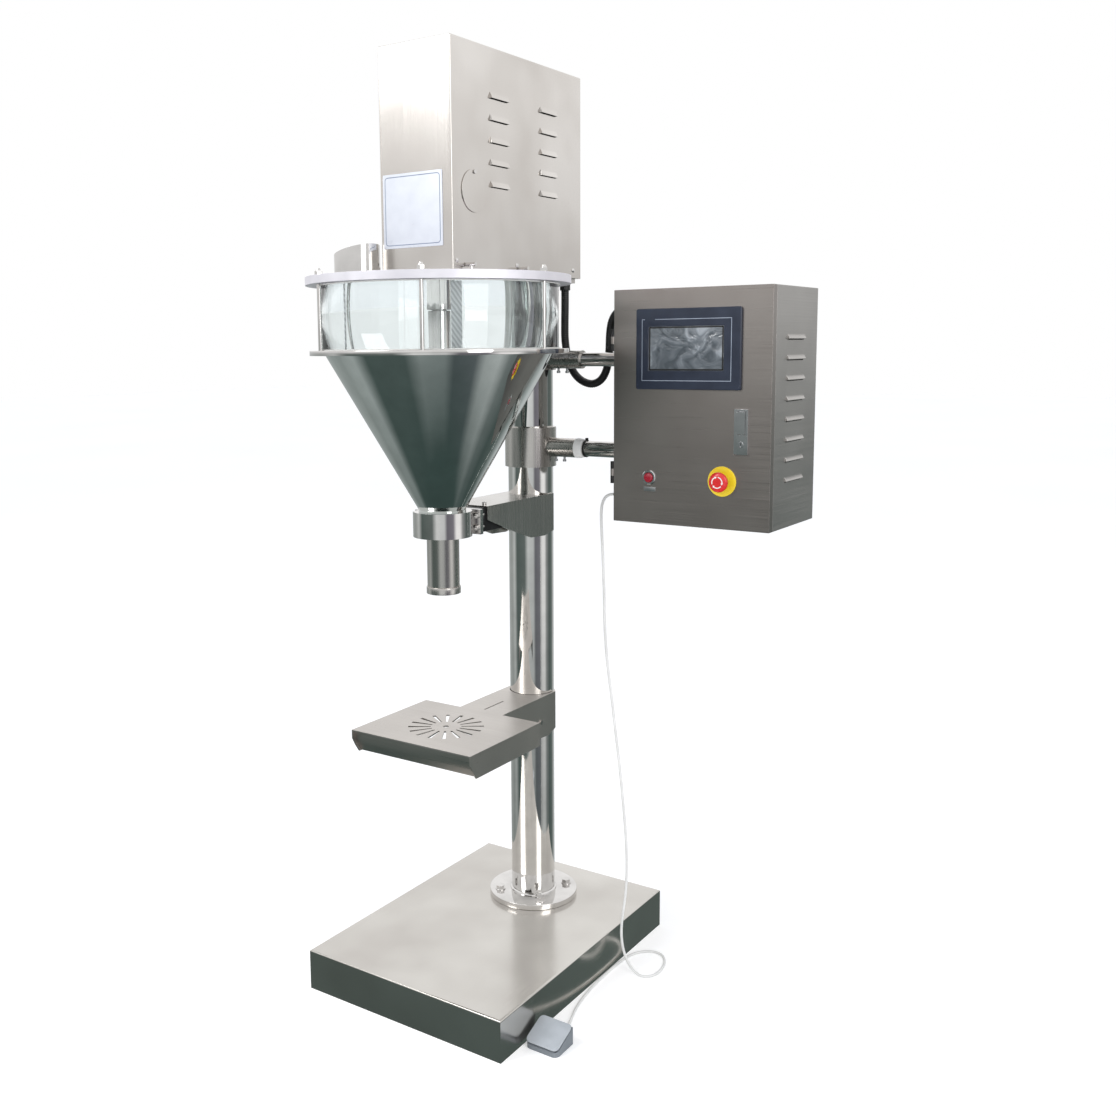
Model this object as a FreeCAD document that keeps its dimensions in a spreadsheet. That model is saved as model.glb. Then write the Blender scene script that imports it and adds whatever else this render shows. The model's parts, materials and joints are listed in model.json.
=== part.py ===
"""Auger powder filler: a column-mounted hopper with a servo-driven auger, a
height-adjustable bag table and a control box on swinging arms.

Millimetres, +Z up. The origin is on the column's axis at the floor. +Y points to
the back of the machine and +X to its right-hand side, where the control box is.
"""
import FreeCAD, Part
import math
import os
import re
import Sketcher
from FreeCAD import Placement, Rotation, Vector

# Driving dimensions in millimetres, angles in degrees.
SIZES = {
    # base tray and its welded frame
    "base_width": 500.0,
    "base_front": 505.0,
    "base_back": 170.0,
    "base_height": 88.0,
    "base_sheet": 2.0,
    "base_bend": 4.0,
    "base_hem": 14.0,
    "rib_thickness": 5.0,
    "rib_offset": 95.0,
    "doubler_width": 230.0,
    "doubler_thickness": 8.0,
    "foot_plate_thickness": 5.0,
    # column and its foot flange
    "column_radius": 51.0,
    "column_wall": 3.0,
    "flange_radius": 103.0,
    "flange_thickness": 13.0,
    "flange_bolt_radius": 80.0,
    "flange_bolt_shank": 6.0,
    "flange_bolt_head": 8.0,
    # head plate over the column and the hopper
    "head_underside": 1516.0,
    "head_plate_thickness": 10.0,
    "head_plate_width": 156.0,
    "head_plate_front": 396.0,
    "head_plate_back": 66.0,
    "column_cap_thickness": 12.0,
    "column_cap_radius": 60.0,
    "cap_screw_circle": 34.0,
    # hopper
    "hopper_reach": 334.0,
    "lid_radius": 265.0,
    "lid_thickness": 16.0,
    "window_radius": 240.0,
    "window_wall": 6.0,
    "window_height": 123.0,
    "gasket_thickness": 2.0,
    "gasket_width": 12.0,
    "ring_radius": 260.0,
    "ring_thickness": 10.0,
    "cone_mouth_radius": 229.0,
    "cone_height": 314.0,
    "cone_sheet": 2.0,
    "neck_radius": 49.0,
    "neck_height": 30.0,
    "rod_count": 6,
    "rod_radius": 4.0,
    "rod_circle": 249.0,
    "rod_first_angle": 30.0,
    "lid_bolt_radius": 4.0,
    "lid_bolt_height": 20.0,
    # discharge tube and its clamp
    "tube_bore": 30.5,
    "tube_wall": 3.0,
    "tube_length": 131.0,
    "tube_flange_thickness": 14.0,
    "end_ring_wall": 2.0,
    "end_ring_height": 14.0,
    "clamp_radius": 61.0,
    "clamp_height": 52.0,
    "clamp_gap": 3.0,
    "clamp_plate_thickness": 10.0,
    "clamp_plate_width": 118.0,
    # neck bracket on the column
    "bracket_sheet": 3.0,
    "bracket_top": 1048.0,
    "bracket_reach": 250.0,
    "bracket_tail": 11.0,
    "bracket_front_depth": 29.0,
    "bracket_depth": 92.0,
    "block_width": 100.0,
    "block_height": 50.0,
    # feed inlet on the lid
    "inlet_radius": 46.0,
    "inlet_sheet": 2.0,
    "inlet_left": 133.0,
    "inlet_forward": 92.6,
    "inlet_low": 42.0,
    "inlet_high": 66.0,
    "inlet_collar": 3.0,
    # drive under the cover
    "drive_gap": 60.0,
    "drive_plate_thickness": 8.0,
    "drive_plate_width": 150.0,
    "pillar_radius": 8.0,
    "reducer_radius": 40.0,
    "reducer_height": 62.0,
    "servo_width": 84.0,
    "servo_height": 150.0,
    "stirrer_reach": 150.0,
    "stirrer_box": 90.0,
    "stirrer_box_height": 64.0,
    "stirrer_motor_radius": 43.0,
    "stirrer_motor_height": 140.0,
    "pulley_width": 18.0,
    "large_pulley_radius": 46.0,
    "small_pulley_radius": 20.0,
    "belt_thickness": 2.6,
    "belt_clearance": 0.3,
    "shaft_radius": 10.0,
    "sleeve_radius": 22.5,
    "spindle_radius": 15.0,
    "housing_radius": 25.0,
    "housing_bore": 20.0,
    "housing_drop": 53.0,
    "bearing_height": 12.0,
    "running_clearance": 0.05,
    # auger and stirrer
    "auger_radius": 29.5,
    "auger_pitch": 40.0,
    "auger_turns": 6.0,
    "auger_flight": 2.5,
    "auger_tip_recess": 2.0,
    "coupling_radius": 20.0,
    "coupling_height": 38.0,
    "sleeve_bottom": 1340.0,
    "stirrer_gap": 6.0,
    "stirrer_bar": 22.0,
    "stirrer_thickness": 5.0,
    "stirrer_foot": 1110.0,
    # motor cover
    "cover_width": 176.0,
    "cover_front": 404.0,
    "cover_back": 75.0,
    "cover_height": 432.0,
    "cover_sheet": 1.2,
    "cover_bend": 3.0,
    "cover_screw_height": 17.0,
    "angle_leg": 26.0,
    "angle_sheet": 3.0,
    "louvre_length": 62.0,
    "louvre_height": 12.0,
    "louvre_depth": 5.0,
    "louvre_pitch": 42.5,
    "louvre_top": 347.0,
    "louvre_count": 5,
    "disc_radius": 41.0,
    "disc_thickness": 1.5,
    "disc_hole_radius": 28.0,
    "disc_pivot_rise": 36.0,
    "disc_height": 152.0,
    "plate_width": 146.0,
    "plate_height": 142.0,
    "plate_thickness": 1.5,
    "plate_rise": 45.0,
    # table
    "table_top": 586.0,
    "table_width": 306.0,
    "table_front": 459.0,
    "table_rear": 206.0,
    "table_sheet": 3.0,
    "table_depth": 51.0,
    "table_lean": 20.0,
    "cheek_proud": 8.0,
    "slot_count": 16,
    "slot_inner": 32.0,
    "slot_outer": 80.0,
    "slot_narrow": 4.0,
    "slot_wide": 8.0,
    "table_hole_radius": 6.0,
    "table_bracket_depth": 97.0,
    "strap_thickness": 3.0,
    "strap_height": 70.0,
    "slide_clearance": 0.08,
    "saddle_depth": 60.0,
    "slit_width": 3.0,
    "slit_length": 74.0,
    # arms
    "collar_radius": 58.0,
    "lower_collar_height": 88.0,
    "lower_arm_gap": 61.5,
    "lower_arm_radius": 17.5,
    "lower_sleeve_radius": 21.2,
    "lower_sleeve_reach": 130.0,
    "upper_collar_height": 46.0,
    "upper_arm_height": 1348.0,
    "upper_arm_radius": 15.0,
    "upper_sleeve_radius": 19.8,
    "upper_sleeve_reach": 137.0,
    "arm_tube_wall": 2.0,
    # control box
    "cabinet_left": 259.0,
    "cabinet_width": 344.0,
    "cabinet_bottom": 1012.0,
    "cabinet_height": 478.0,
    "cabinet_front": 62.0,
    "cabinet_back": 160.0,
    "cabinet_sheet": 1.5,
    "cabinet_lip": 15.0,
    "cabinet_louvre_length": 92.0,
    "cabinet_louvre_height": 10.0,
    "cabinet_louvre_depth": 4.0,
    "cabinet_louvre_pitch": 40.3,
    "cabinet_louvre_first": 98.0,
    "cabinet_louvre_count": 8,
    "door_depth": 18.0,
    "door_gap": 0.5,
    "door_sheet": 1.5,
    "gasket_strip": 10.0,
    "hinge_radius": 4.0,
    "hinge_length": 46.0,
    "hinge_inset": 102.0,
    "hinge_back": 2.0,
    "hinge_leaf": 2.0,
    "hinge_pin_radius": 1.5,
    "screen_left": 54.0,
    "screen_drop": 40.0,
    "screen_width": 228.0,
    "screen_height": 161.5,
    "screen_proud": 6.0,
    "screen_case_depth": 36.0,
    "glass_left": 29.0,
    "glass_width": 163.0,
    "glass_drop": 36.0,
    "glass_height": 88.0,
    "latch_right": 45.5,
    "latch_lift": 9.25,
    "latch_width": 29.0,
    "latch_height": 89.0,
    "latch_proud": 5.0,
    "paddle_width": 18.0,
    "paddle_height": 44.0,
    "key_radius": 6.0,
    "key_rise": 20.0,
    "cam_length": 60.0,
    "button_left": 83.0,
    "button_rise": 96.0,
    "button_bezel_radius": 15.0,
    "button_barrel_radius": 11.0,
    "button_cap_radius": 9.5,
    "button_travel": 3.0,
    "stop_right": 99.7,
    "stop_ring_radius": 30.0,
    "stop_head_radius": 20.0,
    "stop_head_proud": 24.0,
    "stop_travel": 4.0,
    "contact_block": 30.0,
    "contact_depth": 30.0,
    # foot switch
    "pedal_gap": 8.0,
    "pedal_front": 432.0,
    "pedal_width": 74.0,
    "pedal_length": 62.0,
    "pedal_rear_height": 41.0,
    "pedal_front_height": 17.0,
    "pedal_plate": 4.0,
    "pedal_travel": 5.0,
    # cords
    "foot_cord_radius": 3.0,
    "hose_radius": 9.0,
}

# Places worked out from the driving dimensions.
PLACES = {
    "column_top": "head_underside - column_cap_thickness",
    "head_top": "head_underside + head_plate_thickness",
    "lid_bottom": "head_underside - lid_thickness",
    "window_top": "lid_bottom - gasket_thickness",
    "window_bottom": "window_top - window_height",
    "ring_top": "window_bottom - gasket_thickness",
    "ring_bottom": "ring_top - ring_thickness",
    "cone_bottom": "ring_bottom - cone_height",
    "neck_bottom": "cone_bottom - neck_height",
    "tube_radius": "tube_bore + tube_wall",
    "tube_top": "neck_bottom - tube_flange_thickness",
    "tube_bottom": "tube_top - tube_length",
    "clamp_bottom": "neck_bottom + neck_height - 4 - clamp_height",
    "clamp_plate_front": "clamp_radius - clamp_plate_thickness",
    "drive_plate_bottom": "head_top + drive_gap",
    "drive_plate_top": "drive_plate_bottom + drive_plate_thickness",
    "housing_bottom": "lid_bottom - housing_drop",
    "pulley_bottom": "head_top + (drive_gap - pulley_width) / 2",
    "auger_tip": "tube_bottom + auger_tip_recess",
    "coupling_bottom": "sleeve_bottom - 2 - coupling_height",
    "cover_bottom": "head_top",
    "cover_top": "cover_bottom + cover_height",
    "table_bottom": "table_top - table_depth",
    "bracket_bottom": "bracket_top - bracket_depth",
    "slide_inner": "column_radius + slide_clearance + strap_thickness",
    "cabinet_right": "cabinet_left + cabinet_width",
    "cabinet_top": "cabinet_bottom + cabinet_height",
    "door_front": "cabinet_front + door_depth",
    "screen_x": "cabinet_left + screen_left",
    "screen_z": "cabinet_top - screen_drop - screen_height",
    "latch_x": "cabinet_right - latch_right - latch_width",
    "latch_z": "(button_z + screen_z - latch_height) / 2 + latch_lift",
    "key_x": "latch_x + latch_width / 2",
    "key_z": "latch_z + key_rise",
    "button_x": "cabinet_left + button_left",
    "button_z": "cabinet_bottom + button_rise",
    "stop_x": "cabinet_right - stop_right",
    "lower_arm_height": "bracket_top + lower_arm_gap + lower_collar_height / 2",
    "pedal_left": "base_width / 2 + pedal_gap",
}

TURN = {
    "Z": Rotation(),
    "X": Rotation(Vector(0, 1, 0), 90),
    "Y": Rotation(Vector(1, 0, 0), -90),
}
PLANES = {"XY": "XY_Plane", "XZ": "XZ_Plane", "YZ": "YZ_Plane"}
WORD = re.compile(r"[a-z][a-z_0-9]*")

doc = FreeCAD.newDocument("auger_powder_filler")
sheet = doc.addObject("Spreadsheet::Sheet", "Sizes")
for row, (alias, size) in enumerate(SIZES.items(), 1):
    sheet.set("A%d" % row, alias)
    sheet.set("B%d" % row, str(size))
    sheet.setAlias("B%d" % row, alias)
ruler = doc.addObject("App::FeaturePython", "Ruler")
ruler.addProperty("App::PropertyFloat", "Reading")
doc.recompute()

nodes = []


def linked(text):
    """The expression with every size and place name pointed at the sheet."""
    def point(found):
        word = found.group()
        if word in SIZES:
            return "Sizes." + word
        if word in PLACES:
            return "(" + linked(PLACES[word]) + ")"
        return word
    return WORD.sub(point, str(text))


def number(text):
    """What an expression in the sheet's words comes to."""
    ruler.setExpression("Reading", linked(text))
    ruler.recompute()
    return ruler.Reading


def bind(item, **texts):
    """Bind properties of a document object to expressions in the sheet's words."""
    for name, text in texts.items():
        item.setExpression(name, linked(text))
    return item


def put(item, at, turn=Rotation()):
    """Place an object, with its position bound to the sheet."""
    item.Placement = Placement(Vector(), turn)
    for axis, text in zip("xyz", at):
        item.setExpression("Placement.Base." + axis, linked(text))
    return item


def node(label, item):
    """Name a finished sub-part and list it for export."""
    item.Label = label
    nodes.append(item)
    return item


def box(at, size):
    """A block from its lowest corner."""
    item = doc.addObject("Part::Box", "Block")
    bind(item, Length=size[0], Width=size[1], Height=size[2])
    return put(item, at)


def centred(x, y, z, size):
    """A block centred on x and y, standing on z."""
    corner = ("%s - (%s) / 2" % (x, size[0]), "%s - (%s) / 2" % (y, size[1]), z)
    return box(corner, size)


def rod(at, radius, length, axis="Z"):
    """A cylinder from the centre of its first face, along an axis."""
    item = doc.addObject("Part::Cylinder", "Rod")
    bind(item, Radius=radius, Height=length)
    return put(item, at, TURN[axis])


def taper(at, radius, end_radius, length, axis="Z"):
    """A cone frustum from the centre of its first face."""
    item = doc.addObject("Part::Cone", "Taper")
    bind(item, Radius1=radius, Radius2=end_radius, Height=length)
    return put(item, at, TURN[axis])


def hexagon(at, radius, length, axis="Z"):
    """A hexagonal prism, radius to its corners."""
    item = doc.addObject("Part::Prism", "Hexagon")
    item.Polygon = 6
    bind(item, Circumradius=radius, Height=length)
    return put(item, at, TURN[axis])


def fuse(*shapes):
    item = doc.addObject("Part::MultiFuse", "Join")
    item.Shapes = list(shapes)
    item.Refine = True
    return item


def cut(base, *tools):
    item = doc.addObject("Part::Cut", "Cut")
    item.Base = base
    item.Tool = tools[0] if len(tools) == 1 else fuse(*tools)
    item.Refine = True
    return item


def common(first, second):
    item = doc.addObject("Part::MultiCommon", "Common")
    item.Shapes = [first, second]
    return item


def group(*shapes):
    """Separate solids that share one node."""
    item = doc.addObject("Part::Compound", "Group")
    item.Links = list(shapes)
    return item


def tube(at, radius, bore, length, axis="Z"):
    """A ring or pipe."""
    return cut(rod(at, radius, length, axis), rod(at, bore, length, axis))


def drawn(name, plane, corners):
    """A body with one closed sketch of straight lines, every corner bound to the sheet."""
    body = doc.addObject("PartDesign::Body", name)
    sketch = body.newObject("Sketcher::SketchObject", name + "Outline")
    role = PLANES[plane]
    face = [part for part in body.Origin.OriginFeatures if part.Role == role][0]
    sketch.AttachmentSupport = (face, [""])
    sketch.MapMode = "FlatFace"
    points = [Vector(number(x), number(y), 0) for x, y in corners]
    count = len(points)
    for index in range(count):
        sketch.addGeometry(Part.LineSegment(points[index], points[(index + 1) % count]))
    for index in range(count):
        after = (index + 1) % count
        sketch.addConstraint(Sketcher.Constraint("Coincident", index, 2, after, 1))
    for index, corner in enumerate(corners):
        for kind, text, value in zip(("DistanceX", "DistanceY"), corner, points[index]):
            made = sketch.addConstraint(Sketcher.Constraint(kind, -1, 1, index, 1, value))
            sketch.setExpression("Constraints[%d]" % made, linked(text))
    return body, sketch


def padded(name, plane, corners, length, at=("0", "0", "0")):
    """A plate or prism: the outline padded along its plane's normal.

    The normal is +Z for XY, -Y for XZ and +X for YZ.
    """
    body, sketch = drawn(name, plane, corners)
    pad = body.newObject("PartDesign::Pad", name + "Pad")
    pad.Profile = sketch
    bind(pad, Length=length)
    sketch.Visibility = False
    return put(body, at)


def turned(name, corners, at=("0", "0", "0")):
    """A turned piece: corners are radius and height, revolved about Z."""
    body, sketch = drawn(name, "XZ", corners)
    turn = body.newObject("PartDesign::Revolution", name + "Turn")
    turn.Profile = sketch
    turn.ReferenceAxis = (sketch, ["V_Axis"])
    turn.Angle = 360
    return put(body, at)


def around(count, first, radius, centre_x="0", centre_y="0"):
    """Centres spaced evenly on a circle; angles from the front (-Y) towards +X."""
    places = []
    for index in range(int(SIZES[count]) if count in SIZES else int(count)):
        angle = "(%s + %d * 360 / %s)" % (first, index, count)
        x = "%s + %s * sin(%s * 1deg)" % (centre_x, radius, angle)
        y = "%s - %s * cos(%s * 1deg)" % (centre_y, radius, angle)
        places.append((x, y))
    return places


def cap_screw(x, y, z, shank, length, head=True):
    """A socket head screw hanging down from z, its head above z."""
    body = rod((x, y, "%s - (%s)" % (z, length)), shank, length)
    if not head:
        return body
    top = rod((x, y, z), "%s * 1.6" % shank, "%s * 1.8" % shank)
    socket = hexagon((x, y, "%s + %s * 0.8" % (z, shank)), "%s * 0.9" % shank, "%s * 1.2" % shank)
    return cut(fuse(body, top), socket)


AXIS = ("0", "-hopper_reach")


# ---------------------------------------------------------------- base
def make_base():
    """A folded tray, open below, over a welded frame of ribs between two square plates."""
    tray = doc.addObject("PartDesign::Body", "BaseTray")
    sketch = tray.newObject("Sketcher::SketchObject", "BaseTrayOutline")
    face = [part for part in tray.Origin.OriginFeatures if part.Role == "XY_Plane"][0]
    sketch.AttachmentSupport = (face, [""])
    sketch.MapMode = "FlatFace"
    corners = (
        ("-base_width / 2", "-base_front"),
        ("base_width / 2", "-base_front"),
        ("base_width / 2", "base_back"),
        ("-base_width / 2", "base_back"),
    )
    points = [Vector(number(x), number(y), 0) for x, y in corners]
    for index in range(4):
        sketch.addGeometry(Part.LineSegment(points[index], points[(index + 1) % 4]))
    for index in range(4):
        sketch.addConstraint(Sketcher.Constraint("Coincident", index, 2, (index + 1) % 4, 1))
    for index, corner in enumerate(corners):
        for kind, text, value in zip(("DistanceX", "DistanceY"), corner, points[index]):
            made = sketch.addConstraint(Sketcher.Constraint(kind, -1, 1, index, 1, value))
            sketch.setExpression("Constraints[%d]" % made, linked(text))
    pad = tray.newObject("PartDesign::Pad", "BaseTrayPad")
    pad.Profile = sketch
    bind(pad, Length="base_height")
    doc.recompute()
    top_edges = []
    for index, edge in enumerate(pad.Shape.Edges, 1):
        if all(abs(point.Point.z - number("base_height")) < 0.01 for point in edge.Vertexes):
            top_edges.append("Edge%d" % index)
    bends = tray.newObject("PartDesign::Fillet", "BaseTrayBends")
    bends.Base = (pad, top_edges)
    bind(bends, Radius="base_bend")
    hollow = box(
        ("-base_width / 2 + base_sheet", "-base_front + base_sheet", "base_sheet"),
        (
            "base_width - 2 * base_sheet",
            "base_front + base_back - 2 * base_sheet",
            "base_height - 2 * base_sheet",
        ),
    )
    mouth = box(
        ("-base_width / 2 + base_hem", "-base_front + base_hem", "-1"),
        ("base_width - 2 * base_hem", "base_front + base_back - 2 * base_hem", "base_sheet + 2"),
    )
    holes = [
        rod((x, y, "base_height - 2 * base_sheet"), "flange_bolt_shank", "3 * base_sheet")
        for x, y in around("4", "45", "flange_bolt_radius")
    ]
    node("base_cover", cut(tray, hollow, mouth, *holes))

    inner = "base_width - 2 * base_sheet"
    length = "base_front + base_back - 2 * base_sheet"
    rib_height = "base_height - 2 * base_sheet"
    front = "-base_front + base_sheet"
    ribs = [
        box(("%s * rib_offset - rib_thickness / 2" % side, front, "base_sheet"),
            ("rib_thickness", length, rib_height))
        for side in ("-1", "1")
    ]
    ribs += [
        box(("-base_width / 2 + base_sheet", "%s * rib_offset - rib_thickness / 2" % side, "base_sheet"),
            (inner, "rib_thickness", rib_height))
        for side in ("-1", "1")
    ]
    doubler = centred("0", "0", "base_height - base_sheet - doubler_thickness",
                      ("doubler_width", "doubler_width", "doubler_thickness"))
    threads = [
        rod((x, y, "base_height - base_sheet - doubler_thickness - 1"), "flange_bolt_shank",
            "doubler_thickness + 2")
        for x, y in around("4", "45", "flange_bolt_radius")
    ]
    foot_plate = centred("0", "0", "0", ("doubler_width", "doubler_width", "foot_plate_thickness"))
    node("base_frame", cut(fuse(doubler, foot_plate, *ribs), *threads))


# ---------------------------------------------------------------- column
def make_column():
    """The tube, its foot flange with four bolts, and the cap that the head plate sits on."""
    bottom = "base_height"
    post = tube(("0", "0", bottom), "column_radius", "column_radius - column_wall",
                "column_top - base_height")
    flange = rod(("0", "0", bottom), "flange_radius", "flange_thickness")
    bore = rod(("0", "0", bottom), "column_radius", "flange_thickness")
    spots = around("4", "45", "flange_bolt_radius")
    holes = [rod((x, y, bottom), "flange_bolt_shank", "flange_thickness") for x, y in spots]
    node("column_flange", cut(flange, bore, *holes))
    grip = "flange_thickness + base_sheet + doubler_thickness"
    bolts = []
    for x, y in spots:
        top = "base_height + flange_thickness"
        shank = rod((x, y, "%s - (%s)" % (top, grip)), "flange_bolt_shank", grip)
        washer = rod((x, y, top), "flange_bolt_shank * 2", "2")
        head = hexagon((x, y, "%s + 2" % top), "flange_bolt_shank * 1.75", "flange_bolt_head")
        bolts.append(fuse(shank, washer, head))

    cap = rod(("0", "0", "column_top"), "column_cap_radius", "column_cap_thickness")
    spigot = rod(("0", "0", "column_top - 20"), "column_radius - column_wall", "20")
    cap_spots = around("4", "45", "cap_screw_circle")
    threads = [rod((x, y, "column_top - 6"), "4", "column_cap_thickness + 6") for x, y in cap_spots]
    wire_way = rod(("0", "0", "column_top - 21"), "14", "column_cap_thickness + 22")
    node("column", group(post, cut(fuse(cap, spigot), wire_way, *threads)))
    return bolts


# ---------------------------------------------------------------- head
LID_SCREWS = (("-32", "-hopper_reach - 46"), ("32", "-hopper_reach - 46"),
              ("-32", "-hopper_reach + 60"), ("32", "-hopper_reach + 60"))


def make_head_plate():
    """The plate that carries the drive, its screws and the angles that hold the cover."""
    plate = box(("-head_plate_width / 2", "-head_plate_front", "head_underside"),
                ("head_plate_width", "head_plate_front + head_plate_back", "head_plate_thickness"))
    shaft_hole = rod(AXIS + ("head_underside - 1",), "housing_radius", "head_plate_thickness + 2")
    wire_way = rod(("0", "0", "head_underside - 1"), "14", "head_plate_thickness + 2")
    cap_spots = around("4", "45", "cap_screw_circle")
    holes = [rod((x, y, "head_underside - 1"), "4", "head_plate_thickness + 2")
             for x, y in list(cap_spots) + list(LID_SCREWS)]
    hose_hole = rod((HOSE[0][0], HOSE[0][1], "head_underside - 1"), "hose_radius - 2",
                    "head_plate_thickness + 2")
    drilled = cut(plate, shaft_hole, wire_way, hose_hole, *holes)
    screws = [cap_screw(x, y, "head_top", "4", "head_plate_thickness + 14") for x, y in cap_spots]
    screws += [cap_screw(x, y, "head_top", "4", "head_plate_thickness + lid_thickness")
               for x, y in LID_SCREWS]

    length = "head_plate_front + head_plate_back"
    inner = "cover_width / 2 - cover_sheet"
    angles = []
    for side in (-1, 1):
        low = "-(%s)" % inner if side < 0 else "%s - angle_sheet" % inner
        foot = "-(%s)" % inner if side < 0 else "%s - angle_leg" % inner
        wall = box((low, "-head_plate_front", "head_top"), ("angle_sheet", length, "angle_leg"))
        leg = box((foot, "-head_plate_front", "head_top"), ("angle_leg", length, "angle_sheet"))
        angles.append(fuse(wall, leg))
    ends = {"-1": "-(%s) - 1" % inner, "1": "%s - angle_sheet - 1" % inner}
    holes = [rod((ends[side], y, "head_top + cover_screw_height"), "2.5", "angle_sheet + 2", "X")
             for side in ends for y in COVER_SCREWS]
    node("head_plate", cut(fuse(drilled, *angles), *holes))
    return screws


COVER_SCREWS = ("-cover_front + 14", "-(cover_front - cover_back) / 2 - 18", "cover_back - 34")


def louvre_row(x, y, tops, length, height, depth, sheet):
    """Pressed louvres on a +X side face: the hoods to add and the openings to cut."""
    hoods = []
    mouths = []
    for index, top in enumerate(tops):
        outer = padded("LouvreHood", "XZ", (
            ("0", "0"), ("0", height), ("%s" % depth, "%s * 0.25" % height), (depth, "0"),
        ), length, (x, "%s + (%s) / 2" % (y, length), "%s - (%s)" % (top, height)))
        inner = padded("LouvreMouth", "XZ", (
            ("-(%s) * 2" % sheet, "-%s" % sheet),
            ("-(%s) * 2" % sheet, "%s - 2 * (%s)" % (height, sheet)),
            ("0", "%s - 2 * (%s)" % (height, sheet)),
            ("%s - (%s)" % (depth, sheet), "%s * 0.25 - (%s) * 0.7" % (height, sheet)),
            ("%s - (%s)" % (depth, sheet), "-%s" % sheet),
        ), "%s - 2 * (%s)" % (length, sheet),
            (x, "%s + (%s) / 2 - (%s)" % (y, length, sheet), "%s - (%s)" % (top, height)))
        hoods.append(outer)
        mouths.append(inner)
    return hoods, mouths


def make_cover():
    """The folded cover with louvres, its inspection disc, data plate and screws."""
    outer = box(("-cover_width / 2", "-cover_front", "cover_bottom"),
                ("cover_width", "cover_front + cover_back", "cover_height"))
    doc.recompute()
    edges = []
    for index, edge in enumerate(outer.Shape.Edges, 1):
        low = min(point.Point.z for point in edge.Vertexes)
        if low > number("cover_bottom") - 0.01 and edge.Length > 1:
            flat = abs(edge.Vertexes[0].Point.z - edge.Vertexes[1].Point.z) < 0.01
            if not flat or low > number("cover_top") - 0.01:
                edges.append(index)
    bent = doc.addObject("Part::Fillet", "CoverBends")
    bent.Base = outer
    bent.Edges = [(index, SIZES["cover_bend"], SIZES["cover_bend"]) for index in edges]
    hollow = box(("-cover_width / 2 + cover_sheet", "-cover_front + cover_sheet", "cover_bottom - 1"),
                 ("cover_width - 2 * cover_sheet", "cover_front + cover_back - 2 * cover_sheet",
                  "cover_height - cover_sheet + 1"))
    face = "cover_width / 2"
    rows = int(SIZES["louvre_count"])
    tops = ["cover_bottom + louvre_top - %d * louvre_pitch" % row for row in range(rows)]
    hoods = []
    mouths = []
    for y in ("-cover_front + 160", "cover_back - 136"):
        more_hoods, more_mouths = louvre_row(face, y, tops, "louvre_length", "louvre_height",
                                             "louvre_depth", "cover_sheet")
        hoods += more_hoods
        mouths += more_mouths
    disc_y = "-cover_front + 72"
    disc_z = "cover_bottom + disc_height"
    port = rod(("%s - 3" % face, disc_y, disc_z), "disc_hole_radius", "6", "X")
    pivot = rod(("%s - 3" % face, disc_y, "%s + disc_pivot_rise" % disc_z), "2", "6", "X")
    outer_face = {"-1": "-cover_width / 2 - 1", "1": "cover_width / 2 - cover_sheet - 1"}
    screw_holes = [
        rod((outer_face[side], y, "head_top + cover_screw_height"), "2.5", "cover_sheet + 2", "X")
        for side in outer_face for y in COVER_SCREWS
    ]
    shell = cut(bent, hollow)
    node("motor_cover", cut(fuse(shell, *hoods), port, pivot, *mouths, *screw_holes))

    disc = rod((face + " + 0.3", disc_y, disc_z), "disc_radius", "disc_thickness", "X")
    bore = rod(("%s - 1" % face, disc_y, "%s + disc_pivot_rise" % disc_z), "2 + running_clearance",
               "disc_thickness + 3", "X")
    node("inspection_disc", cut(disc, bore))
    stem = rod(("%s - cover_sheet" % face, disc_y, "%s + disc_pivot_rise" % disc_z), "2",
               "cover_sheet + disc_thickness + 0.6", "X")
    head = rod(("%s + disc_thickness + 0.6" % face, disc_y, "%s + disc_pivot_rise" % disc_z),
               "4", "2.4", "X")
    nut = hexagon(("%s - cover_sheet - 3" % face, disc_y, "%s + disc_pivot_rise" % disc_z), "4",
                  "3", "X")
    screws = [fuse(stem, head, nut)]
    for side in ("-1", "1"):
        for y in COVER_SCREWS:
            z = "head_top + cover_screw_height"
            if side == "1":
                stem = rod(("cover_width / 2 - cover_sheet - angle_sheet", y, z), "2.5",
                           "cover_sheet + angle_sheet", "X")
                head = taper(("cover_width / 2", y, z), "5", "3", "3", "X")
            else:
                stem = rod(("-cover_width / 2", y, z), "2.5", "cover_sheet + angle_sheet", "X")
                head = taper(("-cover_width / 2 - 3", y, z), "3", "5", "3", "X")
            screws.append(fuse(stem, head))
    plate = box(("-cover_width / 2 + 8", "-cover_front - plate_thickness", "cover_bottom + plate_rise"),
                ("plate_width", "plate_thickness", "plate_height"))
    node("data_plate", plate)
    return screws


# ---------------------------------------------------------------- hopper
def rod_spots():
    return around("rod_count", "rod_first_angle", "rod_circle", "0", "-hopper_reach")


LID_BOLTS = tuple(
    ("%d * (cover_width / 2 + 13)" % side, "-hopper_reach + %d" % along)
    for side in (-1, 1) for along in (-28, 157)
)


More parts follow.
